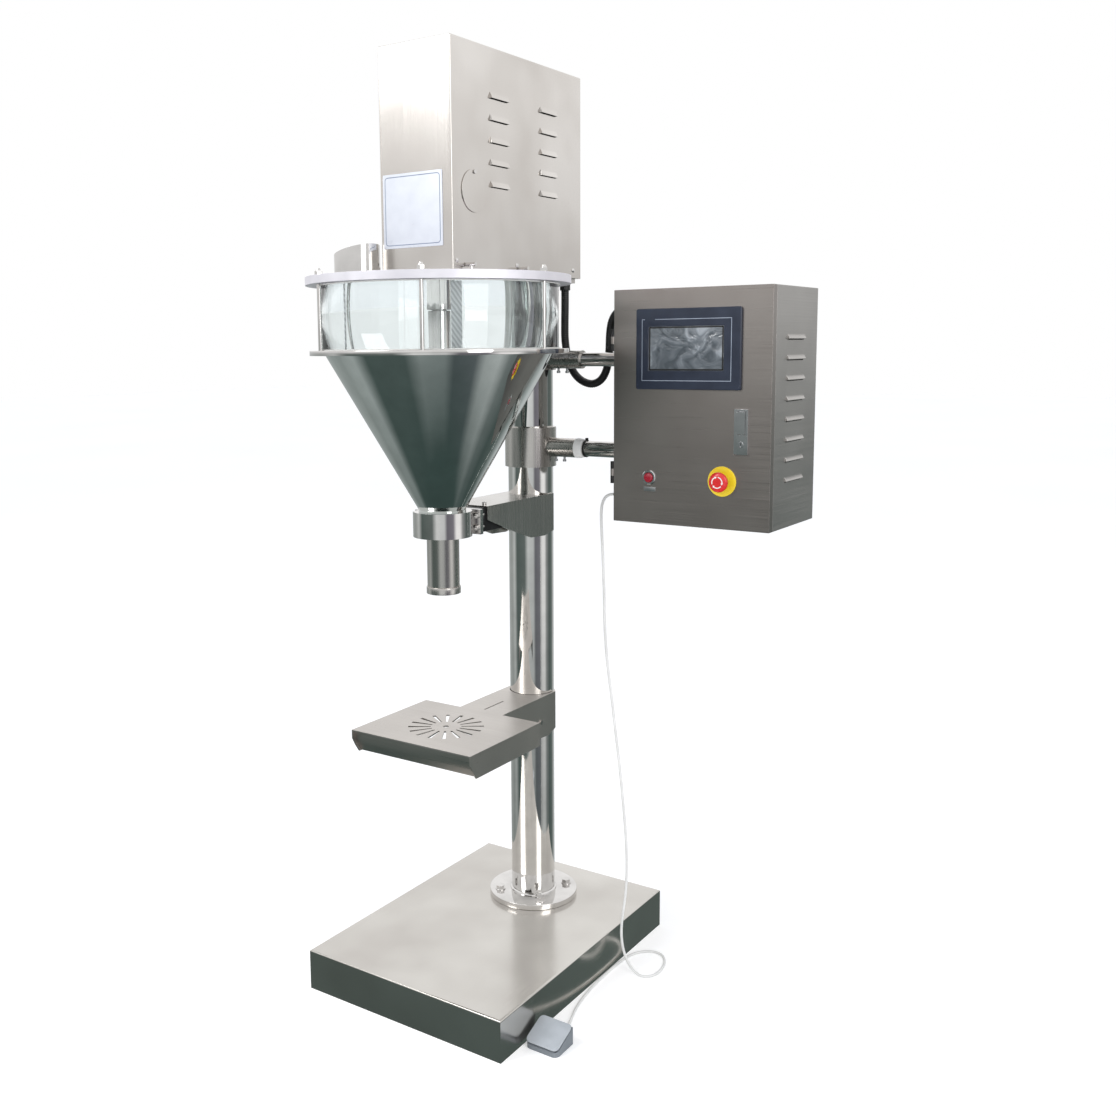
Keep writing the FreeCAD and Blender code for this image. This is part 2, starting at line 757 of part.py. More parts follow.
def make_hopper():
    """Lid, clear window between two gaskets, lower ring, cone, tie rods and their nuts."""
    lid = rod(AXIS + ("lid_bottom",), "lid_radius", "lid_thickness")
    shaft_hole = rod(AXIS + ("lid_bottom - 1",), "housing_radius", "lid_thickness + 2")
    inlet_hole = rod(INLET + ("lid_bottom - 1",), "inlet_radius", "lid_thickness + 2")
    small = [rod((x, y, "lid_bottom - 1"), "rod_radius", "lid_thickness + 2") for x, y in rod_spots()]
    small += [rod((x, y, "lid_bottom - 1"), "lid_bolt_radius", "lid_thickness + 2")
              for x, y in list(LID_BOLTS) + list(LID_SCREWS)]
    node("hopper_lid", cut(lid, shaft_hole, inlet_hole, *small))
    bolts = []
    for x, y in LID_BOLTS:
        shank = rod((x, y, "lid_bottom"), "lid_bolt_radius", "lid_thickness + lid_bolt_height")
        bar = rod(("%s - 11" % x, y, "head_underside + lid_bolt_height"), "lid_bolt_radius", "22", "X")
        foot = rod((x, y, "head_underside"), "lid_bolt_radius * 2", "2")
        bolts.append(fuse(shank, bar, foot))

    node("hopper_window", tube(AXIS + ("window_bottom",), "window_radius",
                               "window_radius - window_wall", "window_height"))
    seals = [
        tube(AXIS + (z,), "window_radius + (gasket_width - window_wall) / 2",
             "window_radius - window_wall - (gasket_width - window_wall) / 2", "gasket_thickness")
        for z in ("ring_top", "window_top")
    ]
    node("window_gaskets", group(*seals))
    ring = rod(AXIS + ("ring_bottom",), "ring_radius", "ring_thickness")
    mouth = rod(AXIS + ("ring_bottom - 1",), "cone_mouth_radius - cone_sheet * 1.2",
                "ring_thickness + 2")
    threads = [rod((x, y, "ring_bottom - 1"), "rod_radius", "ring_thickness + 2")
               for x, y in rod_spots()]
    node("hopper_ring", cut(ring, mouth, *threads))
    tie_rods = []
    nuts = []
    for x, y in rod_spots():
        tie_rods.append(rod((x, y, "ring_bottom"), "rod_radius", "head_underside - ring_bottom"))
        washer = rod((x, y, "head_underside"), "rod_radius * 2", "1.6")
        flats = hexagon((x, y, "head_underside + 1.6"), "rod_radius * 1.9", "rod_radius * 1.6")
        dome = taper((x, y, "head_underside + 1.6 + rod_radius * 1.6"), "rod_radius * 1.5",
                     "rod_radius * 0.8", "rod_radius * 1.4")
        nuts.append(fuse(washer, flats, dome))
    node("hopper_fasteners", group(*tie_rods, *nuts, *bolts))

    cone = turned("HopperCone", (
        ("cone_mouth_radius - cone_sheet * 1.2", "ring_bottom"),
        ("cone_mouth_radius", "ring_bottom"),
        ("neck_radius", "cone_bottom"),
        ("neck_radius", "neck_bottom"),
        ("tube_bore", "neck_bottom"),
        ("tube_bore", "cone_bottom - 8"),
        ("neck_radius - cone_sheet * 1.2", "cone_bottom"),
    ), AXIS + ("0",))
    node("hopper_cone", cone)


def make_discharge():
    """The flanged discharge tube with its end ring, held to the neck by a split clamp."""
    pipe = turned("DischargeTube", (
        ("tube_bore", "tube_bottom"),
        ("tube_radius", "tube_bottom"),
        ("tube_radius", "tube_top"),
        ("neck_radius", "tube_top"),
        ("neck_radius", "neck_bottom"),
        ("tube_bore", "neck_bottom"),
    ), AXIS + ("0",))
    end_ring = tube(AXIS + ("tube_bottom",), "tube_radius + end_ring_wall", "tube_radius",
                    "end_ring_height")
    node("discharge_tube", group(pipe, end_ring))

    ring = rod(AXIS + ("clamp_bottom",), "clamp_radius", "clamp_height")
    back_plate = box(("-clamp_plate_width / 2", "-hopper_reach + clamp_plate_front", "clamp_bottom"),
                     ("clamp_plate_width", "clamp_plate_thickness", "clamp_height"))
    bore = rod(AXIS + ("clamp_bottom - 1",), "neck_radius", "clamp_height + 2")
    gap = box(("-clamp_radius - 1", "-hopper_reach - clamp_gap / 2", "clamp_bottom - 1"),
              ("clamp_radius - neck_radius + 6", "clamp_gap", "clamp_height + 2"))
    notch = box(("-clamp_radius - 1", "-hopper_reach - clamp_radius", "clamp_bottom - 1"),
                ("(clamp_radius - neck_radius) + 0.5", "clamp_radius - 16", "clamp_height + 2"))
    heights = ("clamp_bottom + clamp_height * 0.26", "clamp_bottom + clamp_height * 0.74")
    screw_x = "-(clamp_radius + neck_radius) / 2 + 0.4"
    holes = [rod((screw_x, "-hopper_reach - 18", z), "2.5", "34", "Y") for z in heights]
    plate_spots = [(x, z) for x in ("-clamp_plate_width / 2 + 8", "clamp_plate_width / 2 - 8")
                   for z in heights]
    plate_y = "-hopper_reach + clamp_plate_front"
    holes += [rod((x, "%s - 1" % plate_y, z), "3", "clamp_plate_thickness + 2", "Y")
              for x, z in plate_spots]
    node("neck_clamp", cut(fuse(ring, back_plate), bore, gap, notch, *holes))
    screws = []
    for z in heights:
        shank = rod((screw_x, "-hopper_reach - 16", z), "2.5", "30", "Y")
        head = rod((screw_x, "-hopper_reach - 22", z), "4.6", "6", "Y")
        socket = hexagon((screw_x, "-hopper_reach - 23", z), "2.6", "4", "Y")
        screws.append(cut(fuse(shank, head), socket))
    for x, z in plate_spots:
        shank = rod((x, plate_y, z), "3", "clamp_plate_thickness + 12", "Y")
        head = rod((x, "%s - 6" % plate_y, z), "5", "6", "Y")
        socket = hexagon((x, "%s - 7" % plate_y, z), "2.9", "4.5", "Y")
        screws.append(cut(fuse(shank, head), socket))

    block_front = "-hopper_reach + clamp_radius"
    block = box(("-block_width / 2", block_front, "bracket_top - bracket_sheet - block_height"),
                ("block_width", "hopper_reach - clamp_radius - 187", "block_height"))
    side_holes = [rod((x, "%s - 1" % block_front, z), "3", "13", "Y") for x, z in plate_spots]
    top_holes = [rod((x, "-bracket_reach + 22", "bracket_top - bracket_sheet - 20"), "3", "21")
                 for x in ("-30", "30")]
    node("clamp_block", cut(block, *side_holes, *top_holes))
    return screws


def make_neck_bracket():
    """A folded bracket welded to the column, with a slanting lower edge."""
    inner = "column_radius"
    side_outline = (
        ("bracket_tail", "bracket_top"),
        ("-bracket_reach", "bracket_top"),
        ("-bracket_reach", "bracket_top - bracket_front_depth"),
        ("-bracket_reach * 0.67", "bracket_top - bracket_depth * 0.66"),
        ("-bracket_reach * 0.33", "bracket_top - bracket_depth * 0.97"),
        ("-bracket_reach * 0.11", "bracket_bottom"),
        ("bracket_tail", "bracket_top - bracket_depth * 0.92"),
    )
    right = padded("BracketRight", "YZ", side_outline, "bracket_sheet", (inner, "0", "0"))
    left = padded("BracketLeft", "YZ", side_outline, "bracket_sheet",
                  ("-(%s) - bracket_sheet" % inner, "0", "0"))
    top = box(("-(%s)" % inner, "-bracket_reach", "bracket_top - bracket_sheet"),
              ("2 * (%s)" % inner, "bracket_reach + bracket_tail", "bracket_sheet"))
    hole = rod(("0", "0", "bracket_top - bracket_sheet - 1"), "column_radius", "bracket_sheet + 2")
    screw_holes = [rod((x, "-bracket_reach + 22", "bracket_top - bracket_sheet - 1"), "3",
                       "bracket_sheet + 2") for x in ("-30", "30")]
    node("neck_bracket", cut(fuse(right, left, top), hole, *screw_holes))
    return [cap_screw(x, "-bracket_reach + 22", "bracket_top", "3", "bracket_sheet + 18")
            for x in ("-30", "30")]


INLET = ("-inlet_left", "-hopper_reach - inlet_forward")


def make_feed_inlet():
    """A round feed inlet seated in the lid, its mouth cut on a slant that faces outwards."""
    pipe = tube(INLET + ("lid_bottom",), "inlet_radius", "inlet_radius - inlet_sheet",
                "lid_thickness + inlet_high")
    slant = padded("InletSlant", "XZ", (
        ("-inlet_radius - 1", "inlet_low"),
        ("inlet_radius + 1", "inlet_high"),
        ("inlet_radius + 1", "inlet_high + inlet_low"),
        ("-inlet_radius - 1", "inlet_high + inlet_low"),
    ), "2 * inlet_radius + 2", (INLET[0], "%s + inlet_radius + 1" % INLET[1], "head_underside"))
    collar = tube(INLET + ("head_underside",), "inlet_radius + inlet_collar", "inlet_radius",
                  "inlet_collar")
    node("feed_inlet", fuse(cut(pipe, slant), collar))


# ---------------------------------------------------------------- drive
STIRRER = ("0", "-stirrer_reach")
PILLARS = tuple(
    ("%d * (drive_plate_width / 2 - 24)" % side, y)
    for side in (-1, 1) for y in ("-head_plate_front + 12", "-hopper_reach + 92", "-96")
)


def belt_loop(radius_a, radius_b, gap, height):
    """The outer shape of a belt round two pulleys on the Y axis, larger one first, from z = 0."""
    lean = math.asin((radius_a - radius_b) / gap)
    across, along = math.cos(lean), math.sin(lean)
    first = Vector(radius_a * across, radius_a * along, 0)
    second = Vector(radius_b * across, gap + radius_b * along, 0)
    left = [Vector(-point.x, point.y, 0) for point in (first, second)]
    edges = [
        Part.LineSegment(first, second).toShape(),
        Part.Arc(second, Vector(0, gap + radius_b, 0), left[1]).toShape(),
        Part.LineSegment(left[1], left[0]).toShape(),
        Part.Arc(left[0], Vector(0, -radius_a, 0), first).toShape(),
    ]
    return Part.Face(Part.Wire(edges)).extrude(Vector(0, 0, height))


def make_drive():
    """The drive plate on pillars, the two motors and the belt between the stirrer's pulleys."""
    front = "head_plate_front - 2"
    plate = box(("-drive_plate_width / 2", "-(%s)" % front, "drive_plate_bottom"),
                ("drive_plate_width", "%s - 84" % front, "drive_plate_thickness"))
    holes = [rod((x, y, "drive_plate_bottom - 1"), "4", "drive_plate_thickness + 2") for x, y in PILLARS]
    holes += [rod(at + ("drive_plate_bottom - 1",), "16", "drive_plate_thickness + 2")
              for at in (AXIS, STIRRER)]
    pillars = []
    for x, y in PILLARS:
        post = rod((x, y, "head_top"), "pillar_radius", "drive_gap")
        stud = rod((x, y, "drive_plate_bottom"), "4", "drive_plate_thickness")
        head = hexagon((x, y, "drive_plate_top"), "7.5", "5")
        pillars.append(fuse(post, stud, head))
    node("drive_stand", group(cut(plate, *holes), *pillars))

    reducer = fuse(rod(AXIS + ("drive_plate_top",), "reducer_radius", "reducer_height"),
                   centred("0", "-hopper_reach", "drive_plate_top + reducer_height - 10",
                           ("servo_width", "servo_width", "10")))
    socket = rod(AXIS + ("drive_plate_top - 1",), "shaft_radius + running_clearance", "41")
    servo_foot = "drive_plate_top + reducer_height"
    body = centred("0", "-hopper_reach", servo_foot, ("servo_width", "servo_width", "servo_height"))
    plug = box(("-14", "-hopper_reach + servo_width / 2", "%s + servo_height - 40" % servo_foot),
               ("28", "18", "22"))
    encoder = centred("0", "-hopper_reach", "%s + servo_height" % servo_foot,
                      ("servo_width - 12", "servo_width - 12", "26"))
    node("servo_motor", group(cut(reducer, socket), fuse(body, plug, encoder)))

    gearbox = centred("0", "-stirrer_reach", "drive_plate_top",
                      ("stirrer_box", "stirrer_box", "stirrer_box_height"))
    bore = rod(STIRRER + ("drive_plate_top - 1",), "shaft_radius + running_clearance", "31")
    motor_foot = "drive_plate_top + stirrer_box_height"
    can = rod(STIRRER + (motor_foot,), "stirrer_motor_radius", "stirrer_motor_height")
    fins = [centred("0", "-stirrer_reach", "%s + %d" % (motor_foot, 14 + 14 * index),
                    ("stirrer_box", "stirrer_box", "3")) for index in range(6)]
    node("stirrer_motor", group(cut(gearbox, bore), fuse(can, *fins)))

    belt_gap = SIZES["hopper_reach"] - SIZES["stirrer_reach"]
    inner = SIZES["belt_clearance"]
    outer = inner + SIZES["belt_thickness"]
    large, small = SIZES["large_pulley_radius"], SIZES["small_pulley_radius"]
    height = SIZES["pulley_width"] - 2
    loop = belt_loop(large + outer, small + outer, belt_gap, height)
    hollow = belt_loop(large + inner, small + inner, belt_gap, height)
    belt = doc.addObject("Part::Feature", "Belt")
    belt.Shape = loop.cut(hollow)
    put(belt, AXIS + ("pulley_bottom + 1",))
    node("stirrer_belt", belt)

    hub = rod(STIRRER + ("pulley_bottom",), "small_pulley_radius", "pulley_width")
    flanges = [rod(STIRRER + (z,), "small_pulley_radius + 2.2", "0.9")
               for z in ("pulley_bottom", "pulley_bottom + pulley_width - 0.9")]
    shaft = rod(STIRRER + ("pulley_bottom",), "shaft_radius",
                "drive_plate_top + 28 - (pulley_bottom)")
    node("small_pulley", fuse(hub, shaft, *flanges))


def make_spindle():
    """The fixed bearing housing, and the hollow stirrer spindle that turns in it."""
    pipe = tube(AXIS + ("housing_bottom",), "housing_radius", "housing_bore",
                "pulley_bottom - 4 - (housing_bottom)")
    races = [
        tube(AXIS + (z,), "housing_bore", "spindle_radius + running_clearance", "bearing_height")
        for z in ("housing_bottom + 6", "pulley_bottom - 8 - bearing_height")
    ]
    node("shaft_housing", group(pipe, *races))
    bore = "shaft_radius + 1"
    spindle = turned("StirrerSpindle", (
        (bore, "sleeve_bottom"),
        ("sleeve_radius", "sleeve_bottom"),
        ("sleeve_radius", "housing_bottom - 54"),
        ("sleeve_radius - 1", "housing_bottom - 53"),
        ("sleeve_radius", "housing_bottom - 52"),
        ("sleeve_radius", "housing_bottom - 1"),
        ("spindle_radius", "housing_bottom - 1"),
        ("spindle_radius", "pulley_bottom"),
        (bore, "pulley_bottom"),
    ), AXIS + ("0",))
    rim = rod(AXIS + ("pulley_bottom",), "large_pulley_radius", "pulley_width")
    flanges = [rod(AXIS + (z,), "large_pulley_radius + 2.2", "0.9")
               for z in ("pulley_bottom", "pulley_bottom + pulley_width - 0.9")]
    hole = rod(AXIS + ("pulley_bottom - 1",), bore, "pulley_width + 2")
    node("stirrer_spindle", group(spindle, cut(fuse(rim, *flanges), hole)))

    slope = "((cone_mouth_radius - neck_radius) / cone_height)"
    wall = "(neck_radius - cone_sheet * 1.2 - stirrer_gap + %s * (%s - (cone_bottom)))"
    arm_top = "sleeve_bottom + 24"
    blades = []
    for side in ("1", "-1"):
        corners = [
            ("sleeve_radius", arm_top),
            (wall % (slope, arm_top), arm_top),
            (wall % (slope, "stirrer_foot"), "stirrer_foot"),
            (wall % (slope, "stirrer_foot") + " - stirrer_bar", "stirrer_foot"),
            (wall % (slope, arm_top) + " - stirrer_bar * 1.6", "%s - stirrer_bar" % arm_top),
            ("sleeve_radius", "%s - stirrer_bar" % arm_top),
        ]
        corners = [("%s * (%s)" % (side, x), z) for x, z in corners]
        blades.append(padded("StirrerBlade", "XZ", corners, "stirrer_thickness",
                             ("0", "-hopper_reach + stirrer_thickness / 2", "0")))
    hub = tube(AXIS + ("sleeve_bottom",), "sleeve_radius + 7", "sleeve_radius", "26")
    node("stirrer_blades", fuse(hub, *blades))


def make_auger():
    """The drive shaft, its coupling and the auger screw with its helical flight."""
    shaft = rod(AXIS + ("coupling_bottom + coupling_height / 2",), "shaft_radius",
                "drive_plate_top + 38 - (coupling_bottom + coupling_height / 2)")
    coupling = tube(AXIS + ("coupling_bottom",), "coupling_radius", "shaft_radius", "coupling_height")
    node("drive_shaft", group(shaft, coupling))

    core = rod(AXIS + ("auger_tip",), "shaft_radius",
               "coupling_bottom + coupling_height / 2 - (auger_tip)")
    pitch, turns = SIZES["auger_pitch"], SIZES["auger_turns"]
    reach, thick = SIZES["auger_radius"], SIZES["auger_flight"]
    spine = Part.makeHelix(pitch, pitch * turns, reach)
    inner = SIZES["shaft_radius"] - 1.5
    section = Part.makePolygon([
        Vector(inner, 0, 0), Vector(reach, 0, 0), Vector(reach, 0, thick), Vector(inner, 0, thick),
        Vector(inner, 0, 0),
    ])
    flight = doc.addObject("Part::Feature", "Flight")
    flight.Shape = Part.Wire(spine).makePipeShell([section], True, True)
    put(flight, AXIS + ("auger_tip",))
    node("auger_screw", fuse(core, flight))


# ---------------------------------------------------------------- table
def make_table():
    """The slotted bag table and the bracket, saddle and strap that hold it on the column."""
    deck = box(("-table_width / 2", "-table_front", "table_top - table_sheet"),
               ("table_width", "table_front - table_rear", "table_sheet"))
    bottom = "table_bottom"
    side_outline = (
        ("-table_rear", "table_top - table_sheet"),
        ("-table_front", "table_top - table_sheet"),
        ("-table_front", "table_top - table_depth * 0.36"),
        ("-table_front + table_lean * 0.45", "table_top - table_depth * 0.68"),
        ("-table_front + table_lean", bottom),
        ("-table_rear", bottom),
    )
    cheeks = [
        padded("Cheek", "YZ", side_outline, "table_sheet", (x, "0", "0"))
        for x in ("-table_width / 2", "table_width / 2 - table_sheet")
    ]
    panel_outline = (
        ("-table_front + cheek_proud", "table_top - table_sheet"),
        ("-table_front + cheek_proud", "table_top - table_depth * 0.36"),
        ("-table_front + cheek_proud + table_lean * 0.45", "table_top - table_depth * 0.68"),
        ("-table_front + cheek_proud + table_lean", bottom),
        ("-table_front + cheek_proud + table_lean + table_sheet", bottom),
        ("-table_front + cheek_proud + table_lean * 0.45 + table_sheet",
         "table_top - table_depth * 0.68"),
        ("-table_front + cheek_proud + table_sheet", "table_top - table_depth * 0.36"),
        ("-table_front + cheek_proud + table_sheet", "table_top - table_sheet"),
    )
    panel = padded("FrontPanel", "YZ", panel_outline, "table_width - 2 * table_sheet",
                   ("-table_width / 2 + table_sheet", "0", "0"))
    slots = []
    for index in range(int(SIZES["slot_count"])):
        slot = padded("TableSlot", "XY", (
            ("-slot_narrow / 2", "-slot_inner"),
            ("-slot_wide / 2", "-slot_outer"),
            ("slot_wide / 2", "-slot_outer"),
            ("slot_narrow / 2", "-slot_inner"),
        ), "table_sheet + 2", AXIS + ("table_top - table_sheet - 1",))
        angle = 360.0 * (index + 0.5) / int(SIZES["slot_count"])
        slot.Placement.Rotation = Rotation(Vector(0, 0, 1), angle)
        slots.append(slot)
    centre = rod(AXIS + ("table_top - table_sheet - 1",), "table_hole_radius", "table_sheet + 2")
    node("table_tray", cut(fuse(deck, panel, *cheeks), centre, *slots))

    low = "table_top - table_bracket_depth"
    outline = (
        ("bracket_tail", "table_top"),
        ("-table_rear", "table_top"),
        ("-table_rear", "table_bottom"),
        ("-column_radius - 2", "%s + 2" % low),
        ("-column_radius + 32", low),
        ("bracket_tail", "%s + 10" % low),
    )
    sides = [
        padded("TableArm", "YZ", outline, "bracket_sheet", (x, "0", "0"))
        for x in ("slide_inner", "-(slide_inner) - bracket_sheet")
    ]
    top = box(("-(slide_inner)", "-table_rear", "table_top - bracket_sheet"),
              ("2 * (slide_inner)", "table_rear + bracket_tail", "bracket_sheet"))
    hole = rod(("0", "0", "table_top - bracket_sheet - 1"), "column_radius + 1", "bracket_sheet + 2")
    slit = box(("-slit_width / 2", "-table_rear + 13", "table_top - bracket_sheet - 1"),
               ("slit_width", "slit_length", "bracket_sheet + 2"))
    back = box(("-(slide_inner)", "-table_rear - bracket_sheet", "table_bottom"),
               ("2 * (slide_inner)", "bracket_sheet", "table_depth - bracket_sheet"))
    bolt_y = "-column_radius - 2"
    bolt_z = "table_top - bracket_depth * 0.62"
    bolt_holes = [rod((x, bolt_y, bolt_z), "3", "bracket_sheet + 2", "X")
                  for x in ("slide_inner - 1", "-(slide_inner) - bracket_sheet - 1")]
    node("table_bracket", cut(fuse(top, back, *sides), hole, slit, *bolt_holes))

    strap_z = "table_top - bracket_sheet - 2 - strap_height"
    slide = "column_radius + slide_clearance"
    block = box(("-(slide_inner)", "-column_radius - saddle_depth", strap_z),
                ("2 * (slide_inner)", "column_radius + saddle_depth - 1", "strap_height"))
    block_bore = rod(("0", "0", "%s - 1" % strap_z), slide, "strap_height + 2")
    block_threads = [rod((x, bolt_y, bolt_z), "3", "20", "X")
                     for x in ("slide_inner - 19", "-(slide_inner) - 1")]
    saddle = cut(block, block_bore, *block_threads)
    half = box(("-(slide_inner)", "0", strap_z), ("2 * (slide_inner)", "slide_inner", "strap_height"))
    wrap = common(rod(("0", "0", strap_z), "slide_inner", "strap_height"), half)
    pad = box(("-14", "column_radius", "%s + strap_height / 2 - 14" % strap_z), ("28", "14", "28"))
    lock_z = "%s + strap_height / 2" % strap_z
    lock_hole = rod(("0", "column_radius - 2", lock_z), "5", "22", "Y")
    strap_bore = rod(("0", "0", "%s - 1" % strap_z), slide, "strap_height + 2")
    strap = cut(fuse(wrap, pad), strap_bore, lock_hole)
    screws = [fuse(rod(("0", "%s" % slide, lock_z), "5", "22", "Y"),
                   hexagon(("0", "%s + 16" % slide, lock_z), "9.5", "7", "Y"))]
    for x, head_x in (("slide_inner - 17", "slide_inner + bracket_sheet"),
                      ("-(slide_inner) - bracket_sheet", "-(slide_inner) - bracket_sheet - 3")):
        shank = rod((x, bolt_y, bolt_z), "3", "17 + bracket_sheet", "X")
        head = rod((head_x, bolt_y, bolt_z), "5", "3", "X")
        screws.append(fuse(shank, head))
    node("table_clamp", group(saddle, strap, *screws))


# ---------------------------------------------------------------- arms
def make_arm(collar_height, axis_height, arm_radius, sleeve_radius, sleeve_reach):
    """One clamp collar on the column with its sleeve, arm tube and set screws."""
    slide = "column_radius + slide_clearance"
    low = "%s - (%s) / 2" % (axis_height, collar_height)
    collar = rod(("0", "0", low), "collar_radius", collar_height)
    sleeve = rod(("0", "0", axis_height), sleeve_radius, sleeve_reach, "X")
    bore = rod(("0", "0", "%s - 5" % low), slide, "%s + 10" % collar_height)
    arm_bore = rod(("collar_radius + 2", "0", axis_height), arm_radius, sleeve_reach, "X")
    spots = ("%s - 62" % sleeve_reach, "%s - 40" % sleeve_reach)
    under = "%s - (%s) - 8" % (axis_height, sleeve_radius)
    holes = [rod((x, "0", under), "2.5", "%s + 8 - (%s) + 0.5" % (sleeve_radius, arm_radius))
             for x in spots]
    clamp = cut(fuse(collar, sleeve), bore, arm_bore, *holes)
    arm = tube(("collar_radius + 2", "0", axis_height), arm_radius, "%s - arm_tube_wall" % arm_radius,
               "cabinet_left + cabinet_sheet + 12 - (collar_radius + 2)", "X")
    screws = []
    for x in spots:
        shank = rod((x, "0", under), "2.5", "%s + 8 - (%s)" % (sleeve_radius, arm_radius))
        screws.append(fuse(shank, rod((x, "0", "%s - 2" % under), "4", "5")))
    return clamp, arm, screws


def make_arms():
    lower_clamp, lower_arm, lower_screws = make_arm(
        "lower_collar_height", "lower_arm_height", "lower_arm_radius", "lower_sleeve_radius",
        "lower_sleeve_reach")
    upper_clamp, upper_arm, upper_screws = make_arm(
        "upper_collar_height", "upper_arm_height", "upper_arm_radius", "upper_sleeve_radius",
        "upper_sleeve_reach")
    node("arm_collars", group(lower_clamp, upper_clamp))
    node("arm_tubes", group(lower_arm, upper_arm))
    nuts = []
    for height, radius in (("lower_arm_height", "lower_arm_radius"),
                           ("upper_arm_height", "upper_arm_radius")):
        nut = hexagon(("cabinet_left + cabinet_sheet", "0", height), "%s * 1.35" % radius, "8", "X")
        nuts.append(cut(nut, rod(("cabinet_left", "0", height), radius, "12", "X")))
    start = "lower_sleeve_reach"
    liner = tube((start, "0", "lower_arm_height"), "lower_sleeve_radius - 1.5", "lower_arm_radius", "12",
                 "X")
    tie = tube(("%s + 14" % start, "0", "lower_arm_height"), "lower_arm_radius + 1.4",
               "lower_arm_radius", "3.5", "X")
    node("arm_fasteners", group(*lower_screws, *upper_screws, *nuts, liner, tie))


# ---------------------------------------------------------------- control box
def make_cabinet():
    """The control box: a deep shell with louvres, and what is mounted inside it."""
    depth = "cabinet_front + cabinet_back"
    outer = box(("cabinet_left", "-cabinet_front", "cabinet_bottom"),
                ("cabinet_width", depth, "cabinet_height"))
    hollow = box(("cabinet_left + cabinet_sheet", "-cabinet_front + cabinet_sheet",
                  "cabinet_bottom + cabinet_sheet"),
                 ("cabinet_width - 2 * cabinet_sheet", "%s - 2 * cabinet_sheet" % depth,
                  "cabinet_height - 2 * cabinet_sheet"))
    mouth = box(("cabinet_left + cabinet_lip", "-cabinet_front - 1", "cabinet_bottom + cabinet_lip"),
                ("cabinet_width - 2 * cabinet_lip", "cabinet_sheet + 2",
                 "cabinet_height - 2 * cabinet_lip"))
    rows = int(SIZES["cabinet_louvre_count"])
    tops = ["cabinet_top - cabinet_louvre_first + cabinet_louvre_height / 2"
            " - %d * cabinet_louvre_pitch" % row for row in range(rows)]
    hoods, mouths = louvre_row("cabinet_right", "(cabinet_back - cabinet_front) / 2 - 8", tops,
                               "cabinet_louvre_length", "cabinet_louvre_height",
                               "cabinet_louvre_depth", "cabinet_sheet")
    arm_holes = [
        rod(("cabinet_left - 1", "0", "lower_arm_height"), "lower_arm_radius", "4", "X"),
        rod(("cabinet_left - 1", "0", "upper_arm_height"), "upper_arm_radius", "4", "X"),
    ]
    gland_holes = [
        rod(("cabinet_left - 1", y, z), radius, "4", "X")
        for y, z, radius in ((HOSE[-1][1], HOSE[-1][2], "hose_radius + 2"),
                             (FOOT_CORD[0][1], FOOT_CORD[0][2], "foot_cord_radius + 3"))
    ]
    shell = cut(outer, hollow, mouth)
    node("cabinet_shell", cut(fuse(shell, *hoods), *mouths, *arm_holes, *gland_holes))

    back = "cabinet_back - cabinet_sheet"
    left, bottom = "cabinet_left + 27", "cabinet_bottom + 28"
    width, height = "cabinet_width - 54", "cabinet_height - 56"
    panel = box((left, "%s - 18" % back, bottom), (width, "2", height))
    posts = [
        rod((x, "%s - 16" % back, z), "5", "16", "Y")
        for x in ("%s + 12" % left, "cabinet_right - 39") for z in ("%s + 12" % bottom, "cabinet_top - 40")
    ]
    face = "%s - 18" % back
    rail_y = "%s - 7.5" % face
    rails = [box(("%s + 14" % left, rail_y, z), ("%s - 28" % width, "7.5", "35"))
             for z in ("cabinet_bottom + 66", "cabinet_bottom + 196")]
    node("mounting_panel", group(fuse(panel, *posts), *rails))
    servo_drive = fuse(
        box(("%s + 22" % left, "%s - 96" % face, "cabinet_bottom + 272"),
            ("62", "96", "cabinet_height - 320")),
        box(("%s + 30" % left, "%s - 100" % face, "cabinet_bottom + 288"), ("46", "4", "40")))
    stirrer_drive = fuse(
        box(("%s + 104" % left, "%s - 82" % face, "cabinet_bottom + 288"),
            ("68", "82", "cabinet_height - 336")),
        rod(("%s + 138" % left, "%s - 92" % face, "cabinet_top - 84"), "9", "10", "Y"))
    power_supply = box(("cabinet_right - 112", "%s - 70" % face, "cabinet_bottom + 272"),
                       ("60", "70", "cabinet_height - 320"))
    node("drive_units", group(servo_drive, stirrer_drive, power_supply))
    controller = fuse(
        box(("%s + 30" % left, "%s - 66" % rail_y, "cabinet_bottom + 168"), ("130", "66", "90")),
        *[box(("%s + 36" % left, "%s - 72" % rail_y, z), ("118", "6", "12"))
          for z in ("cabinet_bottom + 172", "cabinet_bottom + 242")])
    breaker = fuse(
        box(("cabinet_right - 100", "%s - 60" % rail_y, "cabinet_bottom + 172"), ("36", "60", "82")),
        box(("cabinet_right - 88", "%s - 68" % rail_y, "cabinet_bottom + 206"), ("12", "8", "14")))
    blocks = [
        box(("%s + %s" % (left, 34 + 14 * index), "%s - 42" % rail_y, "cabinet_bottom + 56"),
            ("13.4", "42", "55"))
        for index in range(12)
    ]
    node("rail_units", group(controller, breaker, *blocks))

    pins = []
    third = "hinge_length / 3"
    for z in ("cabinet_bottom + hinge_inset", "cabinet_top - hinge_inset"):
        low = "%s - hinge_length / 2" % z
        pieces = [rod((HINGE_X, HINGE_Y, low), "hinge_pin_radius", "hinge_length")]
        for foot in (low, "%s + 2 * %s" % (low, third)):
            pieces.append(tube((HINGE_X, HINGE_Y, foot), "hinge_radius", "hinge_pin_radius", third))
            pieces.append(box(("cabinet_left - hinge_leaf - 0.3", HINGE_Y, foot),
                              ("hinge_leaf", "door_depth - hinge_back + 1", third)))
            pieces.append(box(("cabinet_left - hinge_leaf", "-cabinet_front", foot),
                              ("hinge_leaf", "14", third)))
        pins.append(fuse(*pieces))
    node("cabinet_hinges", group(*pins))

